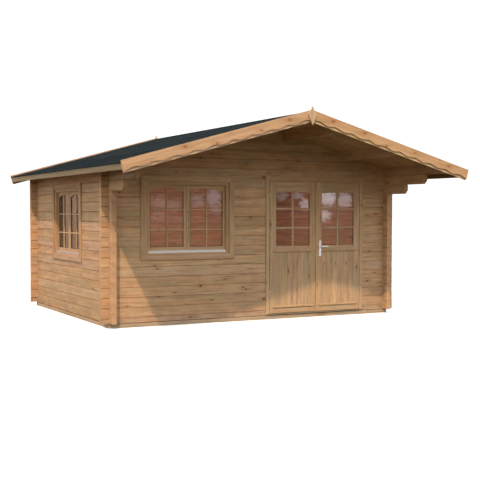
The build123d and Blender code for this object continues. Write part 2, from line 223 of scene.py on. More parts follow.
def knot_layer(t, a2, b, rand, wob, cell_len, chance, r0, r1, width, seed):
    """At most one knot in each stretch of a timber: distances from it, in its
    own radii, for the knot and for the eye-shaped grain round it."""
    u = t.m("DIVIDE", a2, cell_len)
    cell = t.m("FLOOR", u)
    kv, kc = t.white(t.xyz(cell, t.m("MULTIPLY", rand, 191.0), seed))
    k1, k2, k3 = t.split(kc)
    da = t.m("MULTIPLY", t.m("SUBTRACT", t.m("SUBTRACT", u, cell), t.m("MULTIPLY_ADD", k1, 0.7, 0.15)), cell_len)
    db = t.m("SUBTRACT", b, t.m("MULTIPLY", t.m("SUBTRACT", k2, 0.5), width * 0.8))
    rk = t.m("MULTIPLY", t.m("MULTIPLY_ADD", t.m("MULTIPLY", k3, k3), r1 - r0, r0), wob)
    away = t.m("MULTIPLY", t.m("LESS_THAN", kv, 1 - chance), 50.0)
    q = t.xyz(da, db, 0.0)
    d = t.m("ADD", t.m("DIVIDE", t.vlen(t.vmul(q, (0.74, 1, 0))), rk), away)
    e = t.m("ADD", t.m("DIVIDE", t.vlen(t.vmul(q, (0.28, 1, 0))), rk), away)
    return d, e, db


def placed_knots(t, pos, wob, spots, upright=False):
    """Single knots at given places: (x, z, radius) in metres."""
    x, y, z = t.split(pos)
    q = t.xyz(x, z, 0.0)
    d = e = None
    for sx, sz, r in spots:
        w = t.vsub(q, (sx, sz, 0))
        kd, ke = (0.66 / r, 1.1 / r, 0), (0.26 / r, 1 / r, 0)
        if upright:
            kd, ke = (1 / r, 0.40 / r, 0), (1 / r, 0.20 / r, 0)
        di, ei = t.vlen(t.vmul(w, kd)), t.vlen(t.vmul(w, ke))
        d = di if d is None else t.m("MINIMUM", d, di)
        e = ei if e is None else t.m("MINIMUM", e, ei)
    return t.m("DIVIDE", d, wob), e


def timber(t, vec, rand, pale=PALE, mid=MID, dark=DARK, knots=0.9, knot_p=0.30, width=0.10,
           weather=0.30, joint=None, end=None, tone=0.05, grime=None, rough=(0.52, 0.74),
           lines=0.55, kcols=BLACK_KNOT, spots=None, upright=False, wear=(0.20, 0.60), vary=0.42,
           seam_col=(0.23, 0.086, 0.036), flecks=1.0):
    """Softwood along the first coordinate of vec (metres); rand is one number
    per piece of timber. joint darkens the seams, end marks end grain."""
    a, b, c = t.split(vec)
    a2 = t.m("MULTIPLY_ADD", rand, 23.7, a)
    _, c2 = t.white(t.xyz(rand, 3.1, 7.7))
    r1, r2, r3 = t.split(c2)

    # a few dark knots and more small pale-brown ones
    wob = t.m("MULTIPLY_ADD", t.noise(t.xyz(t.m("MULTIPLY", a, 60), t.m("MULTIPLY", b, 60), c), 1.0, 2.0), 0.9, 0.55)
    d, e, db = knot_layer(t, a2, b, rand, wob, knots, knot_p, 0.0055, 0.0140, width, 1.0)
    if spots:
        sd, se = placed_knots(t, obj_coord(t), wob, spots, upright)
        d, e = t.m("MINIMUM", d, sd), t.m("MINIMUM", e, se)
    knot, halo = t.step(d, 1.35, 0.60), t.step(e, 2.9, 0.5)
    d2, e2, db2 = knot_layer(t, a2, b, rand, wob, 0.37, 0.50, 0.0035, 0.0095, width, 2.0)
    knot2, halo2 = t.step(d2, 1.3, 0.5), t.step(e2, 2.6, 0.4)

    # the grain bends round a knot
    b2 = t.m("SUBTRACT", b, t.m("MULTIPLY", t.m("MULTIPLY", halo, t.m("SIGN", db)), 0.009))
    streak = t.noise(t.xyz(t.m("MULTIPLY", a2, 0.95), t.m("MULTIPLY", b2, 27.0), t.m("MULTIPLY", c, 27.0)), 1.0, 4.0, 0.62, 0.3)
    fibre = t.noise(t.xyz(t.m("MULTIPLY", a2, 6.0), t.m("MULTIPLY", b2, 170.0), t.m("MULTIPLY", c, 170.0)), 1.0, 2.0, 0.6)
    patch = t.noise(t.xyz(t.m("MULTIPLY", a2, 0.9), t.m("MULTIPLY", b, 5.0), t.m("MULTIPLY", c, 5.0)), 1.0, 3.0, 0.55)
    blotch = t.noise(t.xyz(t.m("MULTIPLY", a2, 3.1), t.m("MULTIPLY", b, 13.0), t.m("MULTIPLY", c, 13.0)), 1.0, 3.0, 0.6)
    # rings cut lengthwise: slow lines that wander along the timber
    wander = t.noise(t.xyz(t.m("MULTIPLY", a2, 0.8), t.m("MULTIPLY", b2, 5.0), 2.0), 1.0, 2.0, 0.5)
    ringp = t.m("MULTIPLY_ADD", wander, 9.0, t.m("MULTIPLY", t.m("ADD", b2, t.m("MULTIPLY", c, 0.6)), 48.0))
    ring = t.m("POWER", t.m("PINGPONG", ringp, 0.5), 1.6)
    tint = t.m("ADD", t.m("MULTIPLY", streak, 0.95), t.m("MULTIPLY", ring, 0.36))
    tint = t.m("ADD", tint, t.m("MULTIPLY", t.m("SUBTRACT", fibre, 0.5), 0.30))
    col = t.ramp(tint, [(0.22, pale), (0.52, mid), (0.84, dark)])

    # each timber has its own tone, and old treatment leaves olive and red patches
    val = t.m("ADD", t.m("MULTIPLY_ADD", t.m("SUBTRACT", r3, 0.5), 2 * tone, 1.0),
              t.m("MULTIPLY", t.m("SUBTRACT", blotch, 0.5), vary))
    col = t.hsv(col, t.m("MULTIPLY_ADD", t.m("SUBTRACT", r1, 0.5), 0.014, 0.5),
                t.m("MULTIPLY_ADD", t.m("SUBTRACT", r2, 0.5), 0.16, 1.0), val)
    olive = t.m("MULTIPLY", t.step(patch, 0.42, 0.70), t.m("MULTIPLY_ADD", r2, 0.5, 0.5))
    col = t.mix(t.m("MULTIPLY", olive, weather), col, (0.40, 0.325, 0.20))
    red = t.step(t.noise(t.xyz(t.m("MULTIPLY", a2, 1.9), t.m("MULTIPLY", b, 10.0), 5.0), 1.0, 3.0), 0.54, 0.74)
    col = t.mix(t.m("MULTIPLY", red, 0.42), col, (0.59, 0.285, 0.14))

    fleck = t.noise(t.xyz(t.m("MULTIPLY", a2, 7.5), t.m("MULTIPLY", b, 26.0), t.m("MULTIPLY", c, 9.0)), 1.0, 2.0, 0.6)
    col = t.mix(t.m("MULTIPLY", t.step(fleck, 0.54, 0.72), 0.20 * flecks), col, (0.56, 0.27, 0.135))
    col = t.mix(t.m("MULTIPLY", t.step(fleck, 0.46, 0.28), 0.16 * flecks), col, (0.60, 0.46, 0.29))

    # dark lines of the grain and drying cracks, broken along their length
    ln = t.noise(t.xyz(t.m("MULTIPLY", a2, 0.85), t.m("MULTIPLY", b2, 15.0), t.m("MULTIPLY", c, 15.0)), 1.0, 1.0, 0.4)
    line = t.step(t.m("ABSOLUTE", t.m("SUBTRACT", ln, 0.5)), 0.030, 0.006)
    gate = t.noise(t.xyz(t.m("MULTIPLY", a2, 1.7), t.m("MULTIPLY", b, 8.0), 9.0), 1.0, 2.0)
    line = t.m("MULTIPLY", line, t.step(gate, 0.46, 0.62))
    col = t.mix(t.m("MULTIPLY", line, lines), col, (0.29, 0.140, 0.064))

    col = t.mix(t.m("MULTIPLY", halo, 0.42), col, (0.44, 0.225, 0.10))
    col = t.mix(t.m("MULTIPLY", halo2, 0.22), col, (0.50, 0.255, 0.115))
    col = t.mix(t.m("MULTIPLY", knot2, 0.62), col, (0.30, 0.145, 0.062))
    kcol = t.mix(t.m("PINGPONG", t.m("MULTIPLY", d, 2.6), 0.5), *kcols)
    col = t.mix(t.m("MULTIPLY", knot, 0.80), col, kcol)

    height = t.m("ADD", t.m("MULTIPLY", fibre, 0.30), t.m("MULTIPLY", streak, 0.5))
    height = t.m("SUBTRACT", height, t.m("MULTIPLY", line, 0.8))
    height = t.m("ADD", height, t.m("MULTIPLY", knot, 0.35))
    seam_after = joint is not None and end is not None
    # joint brings the seams, and from the logs and bearers also the painted shade beside and under them
    if joint is not None:
        dash = t.noise(t.xyz(t.m("MULTIPLY", a2, 4.2), t.m("MULTIPLY", rand, 40.0), 6.0), 1.0, 2.0, 0.6)
        worn = t.m("MULTIPLY_ADD", t.step(dash, 0.38, 0.62), wear[1], wear[0])
        col = t.mix(t.m("MULTIPLY", joint, worn), col, seam_col)
    if end is not None:
        mask, er = end
        saw = t.noise(vec, 140.0, 3.0, 0.7)
        rings = t.m("PINGPONG", t.m("MULTIPLY_ADD", saw, 0.35, t.m("MULTIPLY", er, 150.0)), 0.5)
        ecol = t.ramp(rings, [(0.0, (0.76, 0.475, 0.270)), (0.5, (0.54, 0.300, 0.155))])
        ecol = t.mix(t.m("MULTIPLY", t.step(t.noise(vec, 9.0, 2.0), 0.45, 0.75), 0.45), ecol, (0.48, 0.28, 0.145))
        ecol = t.hsv(ecol, 0.5, 1.0, t.m("MULTIPLY_ADD", r3, 0.20, 0.90))
        col = t.mix(mask, col, ecol)
        if seam_after:
            col = t.mix(t.m("MULTIPLY", t.m("MULTIPLY", joint, t.m("MULTIPLY", worn, 0.35)), mask), col, seam_col)
    if grime is not None:
        col = t.mix(grime, col, (0.24, 0.155, 0.08))
    rgh = t.lin(t.m("ADD", t.m("MULTIPLY", streak, 0.6), t.m("MULTIPLY", fibre, 0.4)), 0.3, 0.7, rough[0], rough[1])
    nrm = t.bump(height, 0.0016, 0.55)
    t.principled(Base_Color=col, Roughness=rgh, Normal=nrm, Specular_IOR_Level=0.25)


def mat_new(name):
    old = bpy.data.materials.get(name)
    if old:
        bpy.data.materials.remove(old)
    return bpy.data.materials.new(name)


def log_material(name, axis, first, seed, spots=None, seam_at=(0.0612, 0.0662), wear=(0.22, 0.48), gain=(1.0, 1.0, 1.0)):
    """Stacked logs along x (axis 0) or y (axis 1); first is the height of a
    log joint in metres, gain a tint of the wood."""
    pale, mid, dark = (tuple(c * g for c, g in zip(col, gain)) for col in (PALE, MID, DARK))
    mat = mat_new(name)
    t = Tree(mat)
    p = obj_coord(t)
    x, y, z = t.split(p)
    along, depth = (x, y) if axis == 0 else (y, x)
    q = t.m("DIVIDE", t.m("SUBTRACT", z, first), LOG / 1000)
    k = t.m("FLOOR", q)
    local = t.m("MULTIPLY", t.m("SUBTRACT", t.m("SUBTRACT", q, k), 0.5), LOG / 1000)
    side = t.m("ROUND", t.m("MULTIPLY", depth, 0.55))
    rand, _ = t.white(t.xyz(k, seed, side))
    # seam and the shade that gathers just above and under it
    seam = t.step(t.m("ABSOLUTE", local), *seam_at)
    if axis == 0:
        # past the side walls the weather has opened the seams
        past = t.m("GREATER_THAN", t.m("ABSOLUTE", along), W / 2000)
        seam = t.m("MAXIMUM", seam, t.m("MULTIPLY", past, t.step(t.m("ABSOLUTE", local), 0.0590, 0.0640)))
        wear = (t.m("MULTIPLY_ADD", past, 0.22, wear[0]), wear[1])
    faint = t.m("MULTIPLY", t.step(t.m("ABSOLUTE", local), 0.046, 0.0665), 0.12)
    joint = t.m("MAXIMUM", seam, faint)
    nx, ny, nz = t.split(obj_normal(t))
    n = t.m("ABSOLUTE", nx if axis == 0 else ny)
    mask = t.step(n, 0.70, 0.85)
    _, rc = t.white(t.xyz(k, seed + 9.0, side))
    e1, e2, e3 = t.split(rc)
    dd = t.m("SUBTRACT", t.m("FRACT", t.m("MULTIPLY", depth, 7.0)), e1)
    er = t.m("SQRT", t.m("ADD", t.m("MULTIPLY", t.m("MULTIPLY", dd, 0.14), t.m("MULTIPLY", dd, 0.14)),
                         t.m("POWER", t.m("ADD", local, t.m("MULTIPLY_ADD", e2, 0.12, -0.06)), 2.0)))
    grime = t.m("MULTIPLY", t.step(z, 0.30, 0.06),
                t.step(t.noise(p, 7.0, 3.0, 0.6), 0.35, 0.75))
    timber(t, t.xyz(along, local, depth), rand, pale, mid, dark, joint=joint, end=(mask, er), width=0.115,
           knots=1.3, knot_p=0.34, weather=0.60, tone=0.07, grime=t.m("MULTIPLY", grime, 0.35), spots=spots,
           lines=0.46, wear=wear, vary=0.72, seam_col=(0.31, 0.108, 0.043), flecks=1.55)
    return mat


FRONT_KNOTS = [(-1.593, 0.813, 0.011), (-1.556, 0.775, 0.010), (-0.914, 0.521, 0.017), (-1.528, 0.391, 0.010),
               (-1.299, 0.443, 0.009), (-0.200, 0.450, 0.012), (-1.074, 0.095, 0.012), (0.090, 0.298, 0.018),
               (0.085, 2.040, 0.018), (-0.534, 0.603, 0.009), (-0.121, 1.466, 0.012), (2.159, 1.617, 0.011),
               (2.047, 1.516, 0.013), (1.881, 1.501, 0.009), (1.921, 0.952, 0.010), (1.887, 0.495, 0.013),
               (-0.913, 2.296, 0.014), (0.661, 2.278, 0.011)]
DOOR_KNOTS = [(0.489, 0.687, 0.011), (0.840, 0.612, 0.008), (0.980, 0.466, 0.008), (1.108, 0.780, 0.006),
              (1.302, 0.784, 0.006), (1.499, 0.779, 0.008), (1.680, 0.715, 0.011), (0.187, 1.367, 0.009)]
BARGE_KNOTS = [(-1.793, 2.328, 0.020), (-1.358, 2.387, 0.016), (-0.331, 2.718, 0.024), (-0.742, 2.564, 0.014),
               (0.323, 2.728, 0.024), (0.825, 2.595, 0.022), (1.180, 2.441, 0.015), (2.253, 2.191, 0.020),
               (1.657, 2.355, 0.014)]
LOGS_X = log_material("logs_front_back", 0, (BEARER + LOG / 2) / 1000, 2.0, FRONT_KNOTS)
LOGS_Y = log_material("logs_sides", 1, BEARER / 1000, 5.0, None, (0.0602, 0.0652), (0.30, 0.60),
                      (0.945, 0.920, 0.905))


def piece_timber(name, edge=None, **kw):
    """Timber that reads its own length, width and depth from the mesh; edge is
    where the dark seam begins and ends, from the middle of the piece."""
    mat = mat_new(name)
    t = Tree(mat)
    vec = t.new("Attribute", attribute_type="GEOMETRY", attribute_name="grain").outputs["Vector"]
    rand = t.new("Attribute", attribute_type="GEOMETRY", attribute_name="piece").outputs["Fac"]
    ends = t.new("Attribute", attribute_type="GEOMETRY", attribute_name="endgrain").outputs["Fac"]
    a, b, c = t.split(vec)
    er = t.m("SQRT", t.m("ADD", t.m("POWER", b, 2.0), t.m("POWER", t.m("ADD", c, 0.05), 2.0)))
    joint = t.step(t.m("ABSOLUTE", b), *edge) if edge else None
    timber(t, vec, rand, end=(t.step(ends, 0.4, 0.6), er), joint=joint, **kw)
    return mat


JOINERY = piece_timber("joinery_softwood", pale=(0.75, 0.53, 0.325), mid=(0.64, 0.42, 0.24), dark=(0.48, 0.295, 0.155),
                       knots=0.9, knot_p=0.16, width=0.06, weather=0.45, tone=0.04, lines=0.30, spots=DOOR_KNOTS,
                       upright=True, kcols=BROWN_KNOT)
# painted shade: a darker, deeper orange copy of the joinery for the side window, which stands in the sun
JOINERY_SUN_PAINTED_SHADE = piece_timber("joinery_softwood_sun_painted_shade", pale=(0.665, 0.430, 0.252), mid=(0.567, 0.341, 0.186),
                           dark=(0.425, 0.239, 0.120), knots=0.9, knot_p=0.16, width=0.06, weather=0.25, tone=0.05,
                           lines=0.36, kcols=BROWN_KNOT, vary=0.55)
BOARDS = piece_timber("board_softwood", knots=0.6, knot_p=0.35, width=0.09, weather=0.28, tone=0.08)
DOORBOARD = piece_timber("door_board_softwood", pale=(0.745, 0.52, 0.318), mid=(0.628, 0.41, 0.235), dark=(0.46, 0.275, 0.147),
                         knots=0.9, knot_p=0.12, width=0.08, weather=0.58, tone=0.08, lines=0.40, vary=0.66, spots=DOOR_KNOTS,
                         upright=True, kcols=BROWN_KNOT)
BARS = piece_timber("glazing_bar_softwood", pale=(0.71, 0.505, 0.325), mid=(0.62, 0.42, 0.25), dark=(0.49, 0.305, 0.17),
                    knots=0.9, knot_p=0.05, width=0.02, weather=0.15, tone=0.05, lines=0.2)
LOG_ENDS = piece_timber("log_end_softwood", (0.0600, 0.0645), pale=(0.775, 0.525, 0.325), mid=(0.65, 0.405, 0.232),
                        dark=(0.465, 0.27, 0.143), knots=0.5, knot_p=0.15, width=0.11, weather=0.26, tone=0.08,
                        wear=(0.08, 0.22), vary=0.60)
SILL_TIMBER = piece_timber("threshold_hardwood", pale=(0.40, 0.35, 0.26), mid=(0.28, 0.24, 0.175), dark=(0.17, 0.14, 0.095),
                           knots=2.0, knot_p=0.05, width=0.03, weather=0.60, tone=0.03)


def object_timber(name, axis, **kw):
    """Timber on a plain member along one axis of the frame."""
    mat = mat_new(name)
    t = Tree(mat)
    p = obj_coord(t)
    x, y, z = t.split(p)
    order = {0: (x, z, y), 1: (y, z, x), 2: (z, x, y)}[axis]
    nrm = t.split(obj_normal(t))
    cellx = t.m("ROUND", t.m("MULTIPLY", order[2], 2.3))
    cellz = t.m("ROUND", t.m("MULTIPLY", order[1], 3.1)) if axis != 2 else t.m("SIGN", y)
    rand, _ = t.white(t.xyz(cellx, cellz, 4.0 + axis))
    mask = t.step(t.m("ABSOLUTE", nrm[axis]), 0.75, 0.9)
    er = t.m("SQRT", t.m("ADD", t.m("POWER", t.m("FRACT", t.m("MULTIPLY", order[1], 4.0)), 2.0),
                         t.m("POWER", t.m("FRACT", t.m("MULTIPLY", order[2], 4.0)), 2.0)))
    timber(t, t.xyz(*order), rand, end=(mask, er), **kw)
    return mat


def slope_timber(name, **kw):
    """Boards along the two slopes of the roof."""
    mat = mat_new(name)
    t = Tree(mat)
    x, y, z = t.split(obj_coord(t))
    ax = t.m("ABSOLUTE", x)
    s = t.m("SUBTRACT", t.m("MULTIPLY", ax, COS), t.m("MULTIPLY", z, SIN))
    n = t.m("ADD", t.m("MULTIPLY", ax, SIN), t.m("MULTIPLY", z, COS))
    n = t.m("SUBTRACT", n, (RIDGE + 21.5) / 1000 * COS - 0.066)
    rand, _ = t.white(t.xyz(t.m("SIGN", x), t.m("ROUND", t.m("MULTIPLY", y, 60.0)), 8.0))
    nx, ny, nz = t.split(obj_normal(t))
    mask = t.step(t.m("ABSOLUTE", nx), 0.8, 0.93)
    er = t.m("ABSOLUTE", n)
    timber(t, t.xyz(s, n, y), rand, end=(mask, er), **kw)
    return mat


BARGE = slope_timber("bargeboard_softwood", pale=(0.700, 0.462, 0.290), mid=(0.592, 0.357, 0.204), dark=(0.45, 0.247, 0.128),
                     knots=0.8, knot_p=0.25, width=0.12, weather=0.06, tone=0.03, lines=0.22, kcols=RED_KNOT,
                     spots=BARGE_KNOTS)
BACKING = slope_timber("backing_softwood", pale=(0.84, 0.61, 0.40), mid=(0.75, 0.515, 0.305), dark=(0.60, 0.385, 0.21),
                       knots=0.9, knot_p=0.3, width=0.12, weather=0.10, tone=0.03, lines=0.25, kcols=RED_KNOT)
BEAM_Y = object_timber("beam_softwood", 1, knots=0.9, knot_p=0.4, width=0.09, weather=0.30)
FASCIA = object_timber("fascia_softwood", 1, pale=(0.385, 0.330, 0.225), mid=(0.335, 0.270, 0.175), dark=(0.260, 0.190, 0.113),
                       knots=0.8, knot_p=0.35, width=0.07, weather=0.30)
UPRIGHT = object_timber("finial_softwood", 2, pale=(0.675, 0.495, 0.33), mid=(0.595, 0.413, 0.253), dark=(0.48, 0.30, 0.172),
                        knots=2.0, knot_p=0.1, weather=0.05, lines=0.2)


def bearer_material():
    mat = mat_new("bearer_treated")
    t = Tree(mat)
    x, y, z = t.split(obj_coord(t))
    # the front and back bearers run along x, the others along y
    end_y = t.m("GREATER_THAN", t.m("ABSOLUTE", t.m("ADD", y, YC / 1000 - D / 2000)), D / 2000 - 0.0705)
    along = t.m("MULTIPLY_ADD", end_y, t.m("SUBTRACT", x, y), y)
    depth = t.m("MULTIPLY_ADD", end_y, t.m("SUBTRACT", y, x), x)
    rand, _ = t.white(t.xyz(t.m("ROUND", t.m("MULTIPLY", depth, 1.6)), end_y, 3.0))
    # painted shade: a dark, unbroken band along the top of the bearer, for the shade in the gap under the wall; it goes
    # into the timber as its joint
    top = t.step(z, 0.047, 0.053)
    foot = t.m("MULTIPLY", t.step(z, 0.04, 0.0), 0.25)
    timber(t, t.xyz(along, t.m("SUBTRACT", z, 0.031), depth), rand, pale=(0.76, 0.57, 0.39), mid=(0.62, 0.435, 0.28),
           dark=(0.43, 0.275, 0.165), knots=0.9, knot_p=0.35, width=0.05, weather=0.35, joint=top, grime=foot,
           wear=(0.75, 0.25))
    return mat


BEARERS = bearer_material()


def felt_material():
    mat = mat_new("mineral_felt")
    t = Tree(mat)
    p = obj_coord(t)
    x, y, z = t.split(p)
    grit = t.noise(p, 900.0, 2.0, 0.7)
    v = t.new("TexVoronoi", feature="F1")
    t.put(v.inputs["Vector"], p)
    v.inputs["Scale"].default_value = 420.0
    cellc = t.split(v.outputs["Color"])[0]
    blot = t.noise(p, 1.6, 4.0, 0.6)
    run = t.noise(t.xyz(t.m("MULTIPLY", x, 0.7), t.m("MULTIPLY", y, 7.0), z), 1.0, 4.0, 0.6)
    f = t.m("ADD", t.m("MULTIPLY", grit, 0.45), t.m("MULTIPLY", cellc, 0.45))
    col = t.ramp(f, [(0.20, (0.0100, 0.0140, 0.0155)), (0.50, (0.0195, 0.0265, 0.0290)), (0.80, (0.0420, 0.0540, 0.0585))])
    col = t.mix(t.m("MULTIPLY", t.step(blot, 0.45, 0.70), 0.40), col, (0.0300, 0.0385, 0.0410))
    col = t.mix(t.m("MULTIPLY", t.step(run, 0.55, 0.75), 0.30), col, (0.0150, 0.0205, 0.0235))
    # each course has its own tone; along the laps a dark band is partly bitumen and partly painted shade under the step
    # of each lap
    ax = t.m("ABSOLUTE", x)
    rag = t.m("MULTIPLY", t.m("SUBTRACT", t.noise(t.xyz(0.0, t.m("MULTIPLY", y, 5.0), 0.0), 1.0, 4.0, 0.6), 0.5), 0.022)
    off = t.m("ADD", ax, rag)
    bitumen_and_lap_shade = None
    for lap in LAPS:
        b = t.m("MULTIPLY", t.step(off, lap / 1000 - 0.001, lap / 1000 + 0.003), t.step(off, lap / 1000 + 0.030, lap / 1000 + 0.012))
        bitumen_and_lap_shade = b if bitumen_and_lap_shade is None else t.m("MAXIMUM", bitumen_and_lap_shade, b)
    low = t.m("GREATER_THAN", ax, LAPS[0] / 1000)
    cap = t.m("LESS_THAN", ax, LAPS[2] / 1000)
    tone = t.m("MULTIPLY_ADD", low, -0.14, t.m("MULTIPLY_ADD", cap, 0.16, 1.03))
    col = t.hsv(col, 0.5, 1.0, tone)
    col = t.mix(t.m("MULTIPLY", bitumen_and_lap_shade, 0.80), col, (0.0055, 0.0065, 0.0075))
    h = t.m("ADD", t.m("MULTIPLY", cellc, 0.6), t.m("MULTIPLY", grit, 0.5))
    t.principled(Base_Color=col, Roughness=t.lin(blot, 0.3, 0.7, 0.80, 0.94), Specular_IOR_Level=0.0,
                 Normal=t.bump(h, 0.0012, 0.6))
    return mat


def metal_material(name, col, dull, rough, brush_axis=2, metallic=1.0):
    mat = mat_new(name)
    t = Tree(mat)
    p = obj_coord(t)
    x, y, z = t.split(p)
    s = [900.0, 900.0, 900.0]
    s[brush_axis] = 12.0
    br = t.noise(t.xyz(t.m("MULTIPLY", x, s[0]), t.m("MULTIPLY", y, s[1]), t.m("MULTIPLY", z, s[2])), 1.0, 2.0, 0.6)
    spot = t.noise(p, 34.0, 4.0, 0.65)
    c = t.mix(t.step(spot, 0.50, 0.74), col, dull)
    c = t.hsv(c, 0.5, 1.0, t.m("MULTIPLY_ADD", br, 0.20, 0.90))
    r = t.m("ADD", t.lin(br, 0.3, 0.7, rough - 0.07, rough + 0.09), t.m("MULTIPLY", t.step(spot, 0.5, 0.75), 0.15))
    n = t.principled(Base_Color=c, Roughness=r, Normal=t.bump(br, 0.0003, 0.25))
    n.inputs["Metallic"].default_value = metallic
    return mat


def seal_material():
    mat = mat_new("glazing_seal")
    t = Tree(mat)
    p = obj_coord(t)
    worn = t.noise(p, 55.0, 3.0, 0.6)
    dust = t.noise(p, 8.0, 2.0, 0.5)
    col = t.ramp(worn, [(0.3, (0.012, 0.010, 0.009)), (0.7, (0.034, 0.027, 0.021))])
    col = t.mix(t.m("MULTIPLY", t.step(dust, 0.5, 0.75), 0.30), col, (0.09, 0.07, 0.05))
    t.principled(Base_Color=col, Roughness=t.lin(worn, 0.3, 0.7, 0.6, 0.85), Specular_IOR_Level=0.2,
                 Normal=t.bump(worn, 0.0004, 0.3))
    return mat


def glass_material():
    mat = mat_new("pane_glass")
    t = Tree(mat)
    p = obj_coord(t)
    ripple = t.noise(p, 2.6, 1.0, 0.4)
    nrm = t.bump(ripple, 0.004, 0.10)
    fres = t.new("Fresnel")
    fres.inputs["IOR"].default_value = 1.62
    t.put(fres.inputs["Normal"], nrm)
    clear = t.new("BsdfTransparent")
    clear.inputs["Color"].default_value = (0.93, 0.95, 0.945, 1)
    gloss = t.new("BsdfGlossy")
    gloss.inputs["Color"].default_value = (1, 1, 1, 1)
    gloss.inputs["Roughness"].default_value = 0.012
    t.put(gloss.inputs["Normal"], nrm)
    pane = t.new("MixShader")
    t.put(pane.inputs[0], fres.outputs[0])
    t.put(pane.inputs[1], clear.outputs[0])
    t.put(pane.inputs[2], gloss.outputs[0])
    # a trace of dust, thicker in patches
    dust = t.new("BsdfDiffuse")
    dust.inputs["Color"].default_value = (0.52, 0.49, 0.44, 1)
    film = t.m("MULTIPLY_ADD", t.step(t.noise(p, 5.0, 5.0, 0.65), 0.40, 0.80), 0.030, 0.006)
    both = t.new("MixShader")
    t.put(both.inputs[0], film)
    t.put(both.inputs[1], pane.outputs[0])
    t.put(both.inputs[2], dust.outputs[0])
    t.nt.links.new(both.outputs[0], t.out.inputs["Surface"])
    return mat


FELT = felt_material()
GLASS = glass_material()
STEEL = metal_material("satin_steel", (0.98, 0.95, 0.91), (0.86, 0.83, 0.79), 0.27, 2, 0.62)
ZINC = metal_material("zinc_plated_steel", (0.80, 0.62, 0.42), (0.60, 0.45, 0.29), 0.42, 2, 0.35)
GALV = metal_material("nail_steel", (0.20, 0.20, 0.20), (0.11, 0.11, 0.11), 0.55)
SILL = metal_material("drip_aluminium", (0.95, 0.92, 0.89), (0.84, 0.81, 0.78), 0.34, 0, 0.10)
# painted shade: a darker, pinker copy of the drip aluminium for the side window's sill, which stands in the sun
SIDE_SILL_PAINTED_SHADE = metal_material("drip_aluminium_side_painted_shade", (0.45, 0.365, 0.325), (0.38, 0.306, 0.272), 0.42, 1, 0.10)
SEAL = seal_material()


def dress(node, mat):
    o = NODES[node]
    o.data.materials.clear()
    o.data.materials.append(mat)


for n in ("front_wall_left", "front_wall_under_window", "front_wall_middle", "front_wall_right", "front_gable",
          "back_wall"):
    dress(n, LOGS_X)
for n in ("left_wall_front", "left_wall_back", "left_wall_under_window", "left_wall_over_window", "right_wall",
          "left_front_log_ends", "right_front_log_ends", "back_log_ends"):
    dress(n, LOGS_Y)
for n in ("front_bargeboards", "back_bargeboards"):
    dress(n, BARGE)
dress("gable_backing_boards", BACKING)
dress("purlins", BEAM_Y)
dress("eave_fascias", FASCIA)
dress("finials", UPRIGHT)
dress("bearers", BEARERS)
for n in ("roofing_felt_left", "roofing_felt_right"):
    dress(n, FELT)
for n in ("front_window_glass", "side_window_glass", "left_door_glass", "right_door_glass"):
    dress(n, GLASS)
dress("front_window_drip_sill", SILL)
# the side sill takes the darker drip copy, painted shade against the sun on it
dress("side_window_drip_sill", SIDE_SILL_PAINTED_SHADE)
for n in ("handle_plate", "lever_handle"):
    dress(n, STEEL)
for n in ("left_door_hinges", "right_door_hinges", "hinge_frame_halves"):
    dress(n, ZINC)


